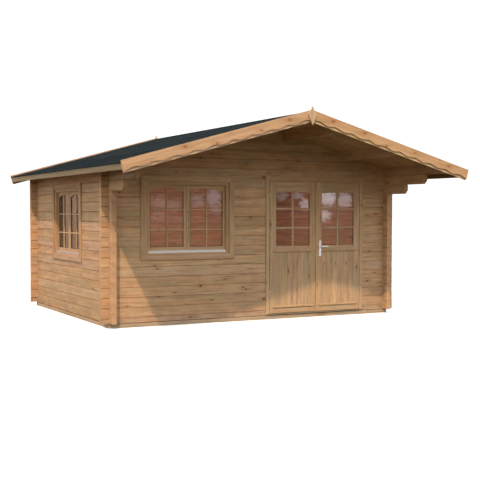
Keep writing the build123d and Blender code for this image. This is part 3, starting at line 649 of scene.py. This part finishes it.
# ------------------------------------------------------------- mesh helpers
class Timbers:
    """Collects pieces of timber into one mesh. Each piece carries its own
    grain coordinates, a random number and a mark on its end faces."""

    def __init__(self, name, place=None):
        self.name, self.place = name, place or (lambda v: P(*v))
        self.v, self.f, self.grain, self.rand, self.end = [], [], [], [], []

    def take(self, bm, axis, rand=None):
        """axis: direction of the grain, as a vector in the piece's own frame."""
        bm.normal_update()
        rand = RND.random() if rand is None else rand
        ax = Vector(axis).normalized()
        helper = Vector((0, 1, 0)) if abs(ax.y) < 0.9 else Vector((1, 0, 0))
        bx = ax.cross(helper).normalized()
        cxv = ax.cross(bx).normalized()
        cos = [v.co for v in bm.verts]
        mid = sum(cos, Vector()) / len(cos)
        lo_a = min(c.dot(ax) for c in cos)
        base = len(self.v)
        bm.verts.ensure_lookup_table()
        bm.verts.index_update()
        for face in bm.faces:
            idx = []
            isend = 1.0 if abs(face.normal.dot(ax)) > 0.8 else 0.0
            for v in face.verts:
                idx.append(base + v.index)
                q = v.co
                self.grain.append(((q.dot(ax) - lo_a) / 1000, (q - mid).dot(bx) / 1000, (q - mid).dot(cxv) / 1000))
                self.rand.append(rand)
                self.end.append(isend)
            self.f.append(idx)
        self.v += [self.place(v.co) for v in bm.verts]
        bm.free()

    def bar(self, x0, x1, y0, y1, z0, z1, axis, bevel=2.0, seg=1, rand=None):
        bm = bmesh.new()
        bmesh.ops.create_cube(bm, size=1.0)
        for v in bm.verts:
            v.co = Vector((x0 + (x1 - x0) * (v.co.x + 0.5), y0 + (y1 - y0) * (v.co.y + 0.5),
                           z0 + (z1 - z0) * (v.co.z + 0.5)))
        if bevel:
            bmesh.ops.bevel(bm, geom=bm.edges[:], offset=bevel, segments=seg, affect="EDGES", profile=0.6)
        self.take(bm, {"x": (1, 0, 0), "y": (0, 1, 0), "z": (0, 0, 1)}[axis] if isinstance(axis, str) else axis, rand)

    def prism(self, pts, along, a0, a1, axis, bevel=1.5, rand=None):
        """Outline carried along one axis. along: x -> pts are (y, z), y -> (x, z), z -> (x, y)."""
        bm = bmesh.new()

        def at(p, a):
            return {"x": (a, p[0], p[1]), "y": (p[0], a, p[1]), "z": (p[0], p[1], a)}[along]

        va = [bm.verts.new(at(p, a0)) for p in pts]
        vb = [bm.verts.new(at(p, a1)) for p in pts]
        bm.faces.new(va)
        bm.faces.new(list(reversed(vb)))
        n = len(pts)
        for i in range(n):
            bm.faces.new((va[i], va[(i + 1) % n], vb[(i + 1) % n], vb[i])[::-1])
        bmesh.ops.recalc_face_normals(bm, faces=bm.faces[:])
        if bevel:
            sharp = [e for e in bm.edges if len(e.link_faces) == 2 and e.calc_face_angle(0) > 0.6]
            bmesh.ops.bevel(bm, geom=sharp, offset=bevel, segments=1, affect="EDGES", profile=0.6)
        self.take(bm, {"x": (1, 0, 0), "y": (0, 1, 0), "z": (0, 0, 1)}[axis] if isinstance(axis, str) else axis, rand)

    def mitred(self, u0, u1, w, sign, y0, y1, base, axis, bevel=3.0):
        """Casing member with mitred ends: outer edge from u0 to u1 at height
        base, inner edge w away in the direction of sign."""
        quad = [(u0, base), (u1, base), (u1 - w, base + sign * w), (u0 + w, base + sign * w)]
        pts = quad if axis == "x" else [(z, u) for u, z in quad]
        bm = bmesh.new()
        va = [bm.verts.new((p[0], y0, p[1])) for p in pts]
        vb = [bm.verts.new((p[0], y1, p[1])) for p in pts]
        bm.faces.new(va)
        bm.faces.new(vb[::-1])
        for i in range(4):
            bm.faces.new((va[i], va[(i + 1) % 4], vb[(i + 1) % 4], vb[i])[::-1])
        bmesh.ops.recalc_face_normals(bm, faces=bm.faces[:])
        bmesh.ops.bevel(bm, geom=bm.edges[:], offset=bevel, segments=1, affect="EDGES", profile=0.6)
        self.take(bm, {"x": (1, 0, 0), "z": (0, 0, 1)}[axis])

    def build(self, mat, body, slot, replaces=()):
        me = bpy.data.meshes.new(self.name)
        me.from_pydata([tuple(v) for v in self.v], [], self.f)
        for key, kind, field, vals in (("grain", "FLOAT_VECTOR", "vector", [c for q in self.grain for c in q]),
                                       ("piece", "FLOAT", "value", self.rand), ("endgrain", "FLOAT", "value", self.end)):
            me.attributes.new(key, kind, "CORNER")
            me.attributes[key].data.foreach_set(field, vals)
        me.update()
        me.materials.append(mat)
        o = bpy.data.objects.new(self.name, me)
        bpy.context.scene.collection.objects.link(o)
        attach(o, body)
        if replaces:
            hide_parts(*replaces)
        return o


def plain_object(name, bm, mats, body, smooth=False):
    me = bpy.data.meshes.new(name)
    bm.normal_update()
    bm.to_mesh(me)
    bm.free()
    for m in (mats if isinstance(mats, (list, tuple)) else [mats]):
        me.materials.append(m)
    if smooth:
        for p in me.polygons:
            p.use_smooth = True
    o = bpy.data.objects.new(name, me)
    bpy.context.scene.collection.objects.link(o)
    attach(o, body)
    return o


# ------------------------------------------------------------------ windows
def side_place(v):
    """A window drawn round x = 0 on the front, set into the left wall."""
    return P(v[1], SIDE_CY - v[0], v[2] - SIDE_DROP)


def front_place(v):
    return P(v[0] + WIN_CX, v[1], v[2])


def arc(ga, gb, spring, peak, n=20):
    """Points of an arch from gb back to ga."""
    half, rise = (gb - ga) / 2, peak - spring
    rad = (half * half + rise * rise) / (2 * rise)
    cz, cx = peak - rad, (ga + gb) / 2
    a1 = math.asin(half / rad)
    return [(cx + rad * math.sin(a1 - 2 * a1 * i / n), cz + rad * math.cos(a1 - 2 * a1 * i / n)) for i in range(n + 1)]


def window(prefix, place, wood):
    fr = Timbers(prefix + "_frame_timber", place)
    ch, cw = 704.0, 77.0
    z0, z1 = 890.0, 2032.0
    fr.mitred(z0 + 0.3, z1 - 0.3, cw, 1, -18, 0, -ch, "z")
    fr.mitred(z0 + 0.3, z1 - 0.3, cw, -1, -18, 0, ch, "z")
    fr.mitred(-ch + 0.6, ch - 0.6, cw, -1, -18, 0, z1, "x")
    fr.mitred(-ch + 0.6, ch - 0.6, cw, 1, -18, 0, z0, "x")
    fr.bar(-ch + cw + 0.6, ch - cw - 0.6, -12, 0, z0 + cw + 0.5, z0 + cw + 8, "x", 2)
    oh, jh, rh = 652.0, 583.0, 601.0
    for s in (-1, 1):
        fr.bar(*sorted((s * jh, s * oh)), 1, 37, 918, 1984, "z", 2)
        fr.bar(*sorted((s * rh, s * oh)), 38, 70, 918, 1984, "z", 2)
    fr.bar(-jh + 0.4, jh - 0.4, 1, 37, 1913, 1984, "x", 2)
    fr.bar(-rh + 0.4, rh - 0.4, 38, 70, 1931, 1984, "x", 2)
    fr.bar(-jh + 0.4, jh - 0.4, 1, 37, 918, 985, "x", 2)
    fr.bar(-rh + 0.4, rh - 0.4, 38, 70, 918, 985, "x", 2)
    fr.build(wood, "house", "joinery_timber", [prefix + "_frame"])

    sa = Timbers(prefix + "_sash_timber", place)
    ba = Timbers(prefix + "_glazing_bars", place)
    se = Timbers(prefix + "_seals", place)
    sh, st = 597.0, 50.0
    for a, b in ((-sh, -2.0), (2.0, sh)):
        ga, gb = a + st, b - st
        sa.bar(a, ga, 40, 72, 992, 1927, "z", 3)
        sa.bar(gb, b, 40, 72, 992, 1927, "z", 3)
        ga, gb = ga + 0.4, gb - 0.4
        sa.bar(ga, gb, 40, 72, 992, 1066, "x", 3)
        sa.prism([(ga, 1927), (gb, 1927)] + arc(ga, gb, 1824, 1870), "y", 40, 72, "x", 2)
        # dark seal round the pane, outside
        for u0, u1 in ((ga, ga + 6), (gb - 6, gb)):
            se.bar(u0, u1, 45, 54.6, 1066, 1826, "z", 2)
        se.bar(ga + 6.5, gb - 6.5, 49, 54.6, 1066, 1070, "x", 1)
        # glazing bars on both faces of the glass
        um = (ga + gb) / 2
        for y0, y1 in ((42.0, 54.6), (59.4, 70.0)):
            ba.bar(um - 9.5, um + 9.5, y0, y1, 1066, 1869.5, "z", 4.0, 2)
            for zb in (1298.0, 1577.0):
                ba.bar(ga, um - 9.0, y0 + 0.8, y1, zb - 8.5, zb + 8.5, "x", 4.0, 2)
                ba.bar(um + 9.0, gb, y0 + 0.8, y1, zb - 8.5, zb + 8.5, "x", 4.0, 2)
    # cover strip where the two sashes meet
    ba.bar(-14, 14, 32, 39.8, 1023, 1912, "z", 3, 2)
    sa.build(wood, "house", "joinery_timber", [prefix + "_sashes"])
    ba.build(BARS, "house", "joinery_timber")
    se.build(SEAL, "house", "joinery_timber")


window("front_window", front_place, JOINERY)
# the side window takes the darker joinery copy, painted shade against the sun on it
window("side_window", side_place, JOINERY_SUN_PAINTED_SHADE)

# --------------------------------------------------------------------- door
DI = 779.0
df = Timbers("door_frame_timber")
df.bar(DOOR_CX - DI + 0.4, DOOR_CX + DI - 0.4, -18, 0, 1990, 2060, "x", 3)
df.bar(DOOR_CX - DI + 0.4, DOOR_CX + DI - 0.4, 1, 70, 1990, 2019.5, "x", 2)
for s in (-1, 1):
    x0, x1 = sorted((DOOR_CX + s * 835, DOOR_CX + s * DI))
    df.bar(x0, x1, -18, 0, 70, 2060, "z", 3)
    x0, x1 = sorted((DOOR_CX + s * 813, DOOR_CX + s * DI))
    df.bar(x0, x1, 1, 70, 62, 2019.5, "z", 2)
df.build(JOINERY, "house", "joinery_timber", ["door_frame"])

th = Timbers("door_threshold_timber")
th.prism([(-20, 62), (70, 62), (70, 76), (-2, 76), (-20, 71)], "x", DOOR_CX - DI + 1, DOOR_CX + DI - 1, "x", 2)
th.build(SILL_TIMBER, "house", "joinery_timber", ["door_threshold"])

for name, s in (("left_door", -1), ("right_door", 1)):
    def span(a, b):
        return sorted((DOOR_CX + s * a, DOOR_CX + s * b))

    lf = Timbers(name + "_leaf_timber")
    bd = Timbers(name + "_boards")
    br = Timbers(name + "_glazing_bars")
    se = Timbers(name + "_seals")
    m0, m1, sw, ly = 4.0, 771.0, 102.0, -18.0
    p0, p1 = m0 + sw + 0.4, m1 - sw - 0.4
    for a, b in ((m0, m0 + sw), (m1 - sw, m1)):
        x0, x1 = span(a, b)
        lf.bar(x0, x1, ly, ly + 42, 82, 1985, "z", 3)
    x0, x1 = span(p0, p1)
    for z0, z1 in ((966, 1050), (82, 154)):
        lf.bar(x0, x1, ly, ly + 42, z0, z1, "x", 3)
    # the top rail has a slight arch over the glass
    lf.prism([(x0, 1985), (x1, 1985)] + arc(x0, x1, 1824, 1836), "y", ly, ly + 42, "x", 2)
    # vertical boards of the lower panel, with a chamfer along each joint
    count = 6
    pitch = (x1 - x0) / count
    for i in range(count):
        bd.bar(x0 + pitch * i + 0.3, x0 + pitch * (i + 1) - 0.3, ly + 5, ly + 33, 154.5, 965.5, "z", 4)
    # flat mouldings under the lock rail and over the kick rail, wider than the
    # panel; on the right leaf the upper one stops short of the handle's plate
    e0, e1 = span(m0 + 46, m1 - 46)
    bd.prism([(ly, 966), (ly - 9, 966), (ly - 11, 969), (ly - 11, 979), (ly - 8, 985), (ly, 988)], "x",
             e0 if s < 0 else 3297.0, e1, "x", 1)
    bd.prism([(ly, 161), (ly - 10, 161), (ly - 11, 163), (ly - 11, 181), (ly - 8, 186), (ly, 188)], "x", e0, e1, "x", 1)
    for u0, u1 in ((x0, x0 + 10), (x1 - 10, x1)):
        bd.bar(u0, u1, ly + 2, ly + 5, 190, 963, "z", 1)
    # glazing bars on both faces of the glass, and seals on its outer face
    xm = (x0 + x1) / 2
    for y0, y1 in ((ly + 6, ly + 18.6), (ly + 23.4, ly + 36)):
        br.bar(xm - 14, xm + 14, y0, y1, 1050.5, 1835.5, "z", 4.5, 2)
        for zb in (1316.0, 1593.0):
            br.bar(x0, xm - 13.5, y0 + 0.8, y1, zb - 13.5, zb + 13.5, "x", 4.5, 2)
            br.bar(xm + 13.5, x1, y0 + 0.8, y1, zb - 13.5, zb + 13.5, "x", 4.5, 2)
    for u0, u1 in ((x0, x0 + 6), (x1 - 6, x1)):
        se.bar(u0, u1, ly + 10, ly + 18.6, 1050.5, 1823, "z", 2)
    se.build(SEAL, name, "joinery_timber")
    lf.build(JOINERY, name, "joinery_timber", [name + "_leaf"])
    bd.build(DOORBOARD, name, "joinery_timber")
    br.build(BARS, name, "joinery_timber")


# --------------------------------------------------------------------- roof
def slope_point(side, off, y, drop):
    """A point off mm from the ridge, drop mm under the top of the felt."""
    return P(CX + side * off, y, RIDGE - drop - TAN * off)


def roof_boards(side, name):
    tm = Timbers("roof_board_timber_" + name, lambda v: Vector(v) / 1000)
    n = 45
    pitch = (ROOF_Y1 - ROOF_Y0) / n
    off1 = EAVE - 26.5
    for i in range(n):
        y0, y1 = ROOF_Y0 + pitch * i + 0.25, ROOF_Y0 + pitch * (i + 1) - 0.25
        bm = bmesh.new()
        # section across the board: chamfers along the lower edges
        sec = [(y0, FELT_V), (y1, FELT_V), (y1, FELT_V + BOARD_V - 5), (y1 - 5, FELT_V + BOARD_V),
               (y0 + 5, FELT_V + BOARD_V), (y0, FELT_V + BOARD_V - 5)]
        rows = []
        for off in (0.3, off1):
            rows.append([bm.verts.new(slope_point(side, off, y, d) * 1000) for y, d in sec])
        bm.faces.new(rows[0])
        bm.faces.new(rows[1][::-1])
        for k in range(6):
            bm.faces.new((rows[0][k], rows[1][k], rows[1][(k + 1) % 6], rows[0][(k + 1) % 6]))
        bmesh.ops.recalc_face_normals(bm, faces=bm.faces[:])
        tm.take(bm, (side * COS, 0, -SIN))
    tm.build(BOARDS, "house", "roof_boards", ["roof_boards_" + name])


roof_boards(-1, "left")
roof_boards(1, "right")


def felt_sheets(side, name):
    """Courses of felt that lap over each other, and the cap over the ridge."""
    bm = bmesh.new()
    ny = 66

    def sheet(off0, off1, lift, thick, wave):
        noff = max(2, int((off1 - off0) / 110))
        top, bot = [], []
        ph = RND.uniform(0, 6.28)
        for i in range(ny + 1):
            y = FELT_Y0 + 1 + (FELT_Y1 - FELT_Y0 - 2) * i / ny
            edge = off1 + wave * (math.sin(y * 0.0021 + ph) + 0.6 * math.sin(y * 0.0073 + 2 * ph))
            rt, rb = [], []
            for j in range(noff + 1):
                off = off0 + (edge - off0) * j / noff
                swell = 0.7 * math.sin(y * 0.0049 + ph * 3) * math.sin(off * 0.006 + ph)
                up = lift + thick + max(-0.4, swell) * (1.0 if 0 < j else 0.0)
                rt.append(bm.verts.new(slope_point(side, off, y, -up)))
                rb.append(bm.verts.new(slope_point(side, off, y, -lift + 0.5)))
            top.append(rt)
            bot.append(rb)
        for i in range(ny):
            for j in range(noff):
                bm.faces.new((top[i][j], top[i][j + 1], top[i + 1][j + 1], top[i + 1][j]))
                bm.faces.new((bot[i][j], bot[i + 1][j], bot[i + 1][j + 1], bot[i][j + 1]))
            bm.faces.new((top[i][noff], bot[i][noff], bot[i + 1][noff], top[i + 1][noff]))
            bm.faces.new((top[i][0], top[i + 1][0], bot[i + 1][0], bot[i][0]))
        for r, q in ((0, 1), (ny, -1)):
            for j in range(noff):
                f = (top[r][j], bot[r][j], bot[r][j + 1], top[r][j + 1])
                bm.faces.new(f if q > 0 else f[::-1])

    sheet(0.0, LAPS[0], 0.0, 2.6, 3.0)
    sheet(0.0, LAPS[1], 2.6, 2.6, 3.0)
    sheet(0.0, LAPS[2], 5.2, 2.6, 2.0)
    # the lowest course turns down a little over the fascia
    for y0, y1 in ((FELT_Y0 + 1, FELT_Y1 - 1),):
        z_low = 13.0
        pts = []
        for y in (y0, y1):
            pts.append([bm.verts.new(slope_point(side, EAVE - 2.6, y, 3.5)), bm.verts.new(slope_point(side, EAVE - 0.2, y, 3.5)),
                        bm.verts.new(slope_point(side, EAVE - 0.2, y, z_low)), bm.verts.new(slope_point(side, EAVE - 2.6, y, z_low))])
        for k in range(4):
            bm.faces.new((pts[0][k], pts[1][k], pts[1][(k + 1) % 4], pts[0][(k + 1) % 4]))
        bm.faces.new(pts[0])
        bm.faces.new(pts[1][::-1])
    bmesh.ops.recalc_face_normals(bm, faces=bm.faces[:])
    plain_object("felt_courses_" + name, bm, FELT, "house")


felt_sheets(-1, "left")
felt_sheets(1, "right")

# flat-headed felt nails along the laps
nails = bmesh.new()
for side in (-1, 1):
    up = Vector((side * SIN, 0, COS))
    for off, lift in ((1815.0, 2.9), (915.0, 5.5), (148.0, 8.1), (2585.0, 0.2)):
        y = FELT_Y0 + 60
        while y < FELT_Y1 - 40:
            o = off + RND.uniform(-5, 5)
            yy = y + RND.uniform(-12, 12)
            c = slope_point(side, o, yy, -lift)
            m = Matrix.Translation(c) @ up.to_track_quat("Z", "Y").to_matrix().to_4x4()
            bmesh.ops.create_cone(nails, cap_ends=True, segments=8, radius1=0.0055, radius2=0.0042, depth=0.0016, matrix=m)
            y += 145
plain_object("felt_nails", nails, GALV, "house")

# ----------------------------------------------------------------- log ends
def roof_under(x):
    return RIDGE - FELT_V - BOARD_V - TAN * abs(x - CX)


def course(k):
    return BEARER + LOG * k


for name, x0 in (("left", 0.0), ("right", W - T)):
    le = Timbers(name + "_front_log_end_timber")
    for k in range(13):
        le.bar(x0, x0 + T, -106, 0, course(k) + (0.4 if k else 0), course(k + 1) - 0.4, "y", 3.0)
    for k, out in ((13, 530.0), (14, 980.0)):
        za, zb = course(k) + 0.6, course(k + 1) - 0.6
        le.prism([(0, za), (-out + 50, za), (-out, za + 50), (-out, zb), (0, zb)], "x", x0, x0 + T, "y", 5.5)
    zt = course(15) + 0.6
    le.prism([(x0, zt), (x0 + T, zt), (x0 + T, roof_under(x0 + T)), (x0, roof_under(x0))], "y", ROOF_Y0, 0, "y", 4)
    le.build(LOG_ENDS, "house", "wall_logs", [name + "_front_log_ends"])
le = Timbers("back_log_end_timber")
for x0 in (0.0, W - T):
    for k in range(15):
        le.bar(x0, x0 + T, D, D + 106, course(k) + (0.4 if k else 0), course(k + 1) - 0.4, "y", 5.5)
    zt = course(15) + 0.4
    le.prism([(x0, zt), (x0 + T, zt), (x0 + T, roof_under(x0 + T)), (x0, roof_under(x0))], "y", D, D + 106, "y", 4)
le.build(LOG_ENDS, "house", "wall_logs", ["back_log_ends"])

# -------------------------------------------------------------------- floor
fl = Timbers("floor_board_timber")
n = 38
y0, y1 = 71.0, D - 71.0
pitch = (y1 - y0) / n
for i in range(n):
    fl.bar(71, W - 71, y0 + pitch * i + 0.4, y0 + pitch * (i + 1) - 0.4, 62, 82, "x", 1.5)
fl.build(BOARDS, "house", "floor_boards", ["floor"])

# ----------------------------------------------------------------- hardware
cyl = bmesh.new()


def turned(bm, centre, axis, profile, seg=24):
    """Solid of revolution: profile is (radius, height) along axis, in mm."""
    q = Vector(axis).to_track_quat("Z", "Y").to_matrix().to_4x4()
    rings = []
    for r, h in profile:
        ring = []
        for i in range(seg):
            a = 2 * math.pi * i / seg
            v = q @ Vector((r * math.cos(a), r * math.sin(a), h))
            ring.append(bm.verts.new(P(centre[0] + v.x, centre[1] + v.y, centre[2] + v.z)))
        rings.append(ring)
    for r0, r1 in zip(rings, rings[1:]):
        for i in range(seg):
            bm.faces.new((r0[i], r0[(i + 1) % seg], r1[(i + 1) % seg], r1[i]))
    bm.faces.new(rings[0][::-1])
    bm.faces.new(rings[-1])


# lock cylinder and the screws of the back plate
turned(cyl, (3274, -21.5, 945), (0, -1, 0), [(8.6, 0), (8.6, 3.2), (8.0, 4.0), (6.2, 4.0), (6.2, 3.4)])
for z in (908, 1000, 1112):
    turned(cyl, (3274, -21.8, z), (0, -1, 0), [(4.2, 0), (4.2, 0.8), (3.0, 1.8), (1.2, 2.1)], 16)
bmesh.ops.recalc_face_normals(cyl, faces=cyl.faces[:])
plain_object("lock_cylinder", cyl, STEEL, "right_door")

# --------------------------------------------------------------- small edges
for node, width in (("handle_plate", 1.2), ("lever_handle", 3.0), ("left_door_hinges", 0.8), ("right_door_hinges", 0.8),
                    ("hinge_frame_halves", 0.8), ("finials", 2.5), ("eave_fascias", 2.0), ("purlins", 4.0),
                    ("front_window_drip_sill", 1.5), ("side_window_drip_sill", 1.5), ("bearers", 2.0)):
    o = NODES[node]
    b = o.modifiers.new("worn_edge", "BEVEL")
    b.width = width / 1000
    b.segments = 2
    b.limit_method = "ANGLE"
    b.angle_limit = math.radians(40)
    b.use_clamp_overlap = True

# ------------------------------------------------------------------- camera
YAW, PITCH_C, ROLL = math.radians(27.475), math.radians(-1.712), math.radians(0.046)
fwd = Vector((math.sin(YAW) * math.cos(PITCH_C), math.cos(YAW) * math.cos(PITCH_C), math.sin(PITCH_C)))
right = Vector((math.cos(YAW), -math.sin(YAW), 0))
upv = right.cross(fwd)
r2 = right * math.cos(ROLL) + upv * math.sin(ROLL)
u2 = upv * math.cos(ROLL) - right * math.sin(ROLL)
rot = Matrix((r2, u2, -fwd)).transposed().to_4x4()
cam = bpy.data.cameras.new("camera")
cam.sensor_width = 36.0
cam.sensor_fit = "HORIZONTAL"
cam.lens = 938.03 / 480 * 36.0
cam.shift_x = 0.75 / 480
cam.shift_y = 0.21 / 480
cam.clip_end = 500
camera = bpy.data.objects.new("camera", cam)
bpy.context.scene.collection.objects.link(camera)
camera.matrix_world = Matrix.Translation(Vector((-6.427, -12.945, 1.542))) @ rot
bpy.context.scene.camera = camera

# -------------------------------------------------------------------- light
SUN_DIR = Vector((0.80, 1.0, -1.543)).normalized()
sun = bpy.data.lights.new("key", "SUN")
sun.energy = 2.41
sun.color = (1.0, 0.755, 0.535)
sun.angle = math.radians(1.6)
sun_o = bpy.data.objects.new("key", sun)
sun_o.rotation_euler = SUN_DIR.to_track_quat("-Z", "Y").to_euler()
sun_o.location = (-6, -8, 10)
bpy.context.scene.collection.objects.link(sun_o)

world = bpy.data.worlds.new("studio")
bpy.context.scene.world = world
world.use_nodes = True
nt = world.node_tree
nt.nodes.clear()
tc = nt.nodes.new("ShaderNodeTexCoord")
sep = nt.nodes.new("ShaderNodeSeparateXYZ")
nt.links.new(tc.outputs["Generated"], sep.inputs[0])
half = nt.nodes.new("ShaderNodeMapRange")
half.inputs["From Min"].default_value = -1.0
half.inputs["From Max"].default_value = 1.0
nt.links.new(sep.outputs["Z"], half.inputs["Value"])


def sky(stops):
    ramp = nt.nodes.new("ShaderNodeValToRGB")
    nt.links.new(half.outputs["Result"], ramp.inputs[0])
    els = ramp.color_ramp.elements
    while len(els) < len(stops):
        els.new(0.5)
    for e, (pos, c) in zip(els, stops):
        e.position = pos
        e.color = (*c, 1)
    return ramp.outputs[0]


# dark under the horizon, white over it; the side the front wall faces is dim
# near the horizon, so that it is darker under the canopy
LOW = (0.098, 0.089, 0.052)
behind = sky([(0.0, LOW), (0.455, LOW), (0.480, (1.12, 1.07, 1.02)), (0.60, (1.10, 1.07, 1.04)),
              (0.85, (1.05, 1.10, 1.20)), (1.0, (1.05, 1.10, 1.22))])
ahead = sky([(0.0, LOW), (0.490, LOW), (0.525, (1.03, 0.93, 0.79)), (0.60, (1.20, 1.16, 1.11)),
             (0.85, (1.19, 1.24, 1.33)), (1.0, (1.05, 1.10, 1.22))])
turn = nt.nodes.new("ShaderNodeMapRange")
turn.interpolation_type = "SMOOTHSTEP"
turn.inputs["From Min"].default_value = -0.15
turn.inputs["From Max"].default_value = 0.30
nt.links.new(sep.outputs["Y"], turn.inputs["Value"])
blend = nt.nodes.new("ShaderNodeMix")
blend.data_type = "RGBA"
nt.links.new(turn.outputs["Result"], blend.inputs["Factor"])
nt.links.new(ahead, blend.inputs[6])
nt.links.new(behind, blend.inputs[7])
bg = nt.nodes.new("ShaderNodeBackground")
nt.links.new(blend.outputs[2], bg.inputs["Color"])
bg.inputs["Strength"].default_value = 1.0
wo = nt.nodes.new("ShaderNodeOutputWorld")
nt.links.new(bg.outputs[0], wo.inputs["Surface"])

# soft lamp in the room, so that the logs show through the panes
lamp = bpy.data.lights.new("room", "AREA")
lamp.energy = 33.0
lamp.color = (1.0, 0.78, 0.84)
lamp.shape = "RECTANGLE"
lamp.size, lamp.size_y = 2.6, 2.0
lamp_o = bpy.data.objects.new("room", lamp)
lamp_o.location = P(CX, 1500, 2150)
bpy.context.scene.collection.objects.link(lamp_o)

def card(name, corners, strength, patches, base, foot=None):
    """Reflector that only the panes and polished metal see: a dim sheet with
    soft pale patches, pale like the floor under the height foot."""
    mat = mat_new(name)
    t = Tree(mat)
    x, y, z = t.split(obj_coord(t))
    rag = t.noise(t.xyz(t.m("MULTIPLY", x, 13.0), t.m("MULTIPLY", z, 13.0), 0.0), 1.0, 6.0, 0.80)
    total = None
    for px, pz, rx, rz, k in patches:
        d = t.vlen(t.vmul(t.vsub(t.xyz(x, z, 0.0), (px, pz, 0)), (1 / rx, 1 / rz, 0)))
        d = t.m("ADD", d, t.m("MULTIPLY", t.m("SUBTRACT", rag, 0.5), 5.2))
        v = t.m("MULTIPLY", t.step(d, 1.20, 0.70), k)
        total = v if total is None else t.m("MAXIMUM", total, v)
    if foot is not None:
        total = t.m("MAXIMUM", total, t.m("MULTIPLY", t.step(z, foot + 0.06, foot - 0.06), 0.85))
    em = t.new("Emission")
    t.put(em.inputs["Color"], t.mix(total, base, (0.96, 0.98, 1.06)))
    em.inputs["Strength"].default_value = strength
    t.nt.links.new(em.outputs[0], t.out.inputs["Surface"])
    me = bpy.data.meshes.new(name)
    me.from_pydata(corners, [], [(0, 1, 2, 3)])
    me.materials.append(mat)
    o = bpy.data.objects.new(name, me)
    o.visible_camera = o.visible_diffuse = o.visible_shadow = o.visible_transmission = False
    bpy.context.scene.collection.objects.link(o)


card("front_card", [(-4, -9, -1.5), (16, -9, -1.5), (16, -9, 2.35), (-4, -9, 2.35)], 1.9,
     [(6.22, 1.90, 0.30, 0.20, 1.0), (6.12, 1.46, 0.17, 0.15, 0.75), (6.72, 1.86, 0.22, 0.17, 0.60),
      (5.58, 1.74, 0.16, 0.13, 0.75), (5.36, 1.95, 0.15, 0.10, 0.40), (4.92, 1.92, 0.16, 0.10, 0.30),
      (3.14, 1.86, 0.20, 0.20, 0.55), (3.22, 1.58, 0.13, 0.12, 0.36), (2.74, 1.80, 0.16, 0.15, 0.32),
      (1.80, 1.76, 0.18, 0.14, 0.24), (2.14, 1.70, 0.14, 0.12, 0.20), (1.76, 1.48, 0.13, 0.11, 0.18)],
     (0.030, 0.026, 0.026), 0.58)
card("side_card", [(-16, 9, -1.5), (-2.75, 9, -1.5), (-2.75, 9, 3.6), (-16, 9, 3.6)], 1.0,
     [(-5.0, 2.2, 0.9, 0.9, 0.06)], (1.12, 0.68, 0.46))

# pale floor
fm = mat_new("stage_floor")
t = Tree(fm)
nz = t.noise(obj_coord(t), 0.35, 2.0, 0.5)
t.principled(Base_Color=t.ramp(nz, [(0.3, (0.93, 0.94, 0.95)), (0.7, (0.96, 0.97, 0.98))]), Roughness=0.9,
             Specular_IOR_Level=0.1, Emission_Color=(0.97, 1.0, 1.0, 1.0), Emission_Strength=0.34)
bm = bmesh.new()
bmesh.ops.create_grid(bm, x_segments=4, y_segments=4, size=160)
me = bpy.data.meshes.new("stage_floor")
bm.to_mesh(me)
bm.free()
me.materials.append(fm)
floor = bpy.data.objects.new("stage_floor", me)
floor.location = (0, 0, -0.001)
floor.visible_diffuse = False
floor.visible_glossy = False
bpy.context.scene.collection.objects.link(floor)

# plain pale backdrop all round, a long way off
bd = mat_new("stage_backdrop")
t = Tree(bd)
em = t.new("Emission")
em.inputs["Color"].default_value = (1.0, 1.0, 1.0, 1.0)
em.inputs["Strength"].default_value = 1.15
t.nt.links.new(em.outputs[0], t.out.inputs["Surface"])
bm = bmesh.new()
bmesh.ops.create_cone(bm, cap_ends=False, segments=96, radius1=150.0, radius2=150.0, depth=160.0)
me = bpy.data.meshes.new("stage_backdrop")
bm.to_mesh(me)
bm.free()
me.materials.append(bd)
back = bpy.data.objects.new("stage_backdrop", me)
back.visible_diffuse = back.visible_glossy = back.visible_transmission = back.visible_shadow = False
bpy.context.scene.collection.objects.link(back)

sc = bpy.context.scene
sc.view_settings.view_transform = "Standard"
sc.view_settings.look = "None"
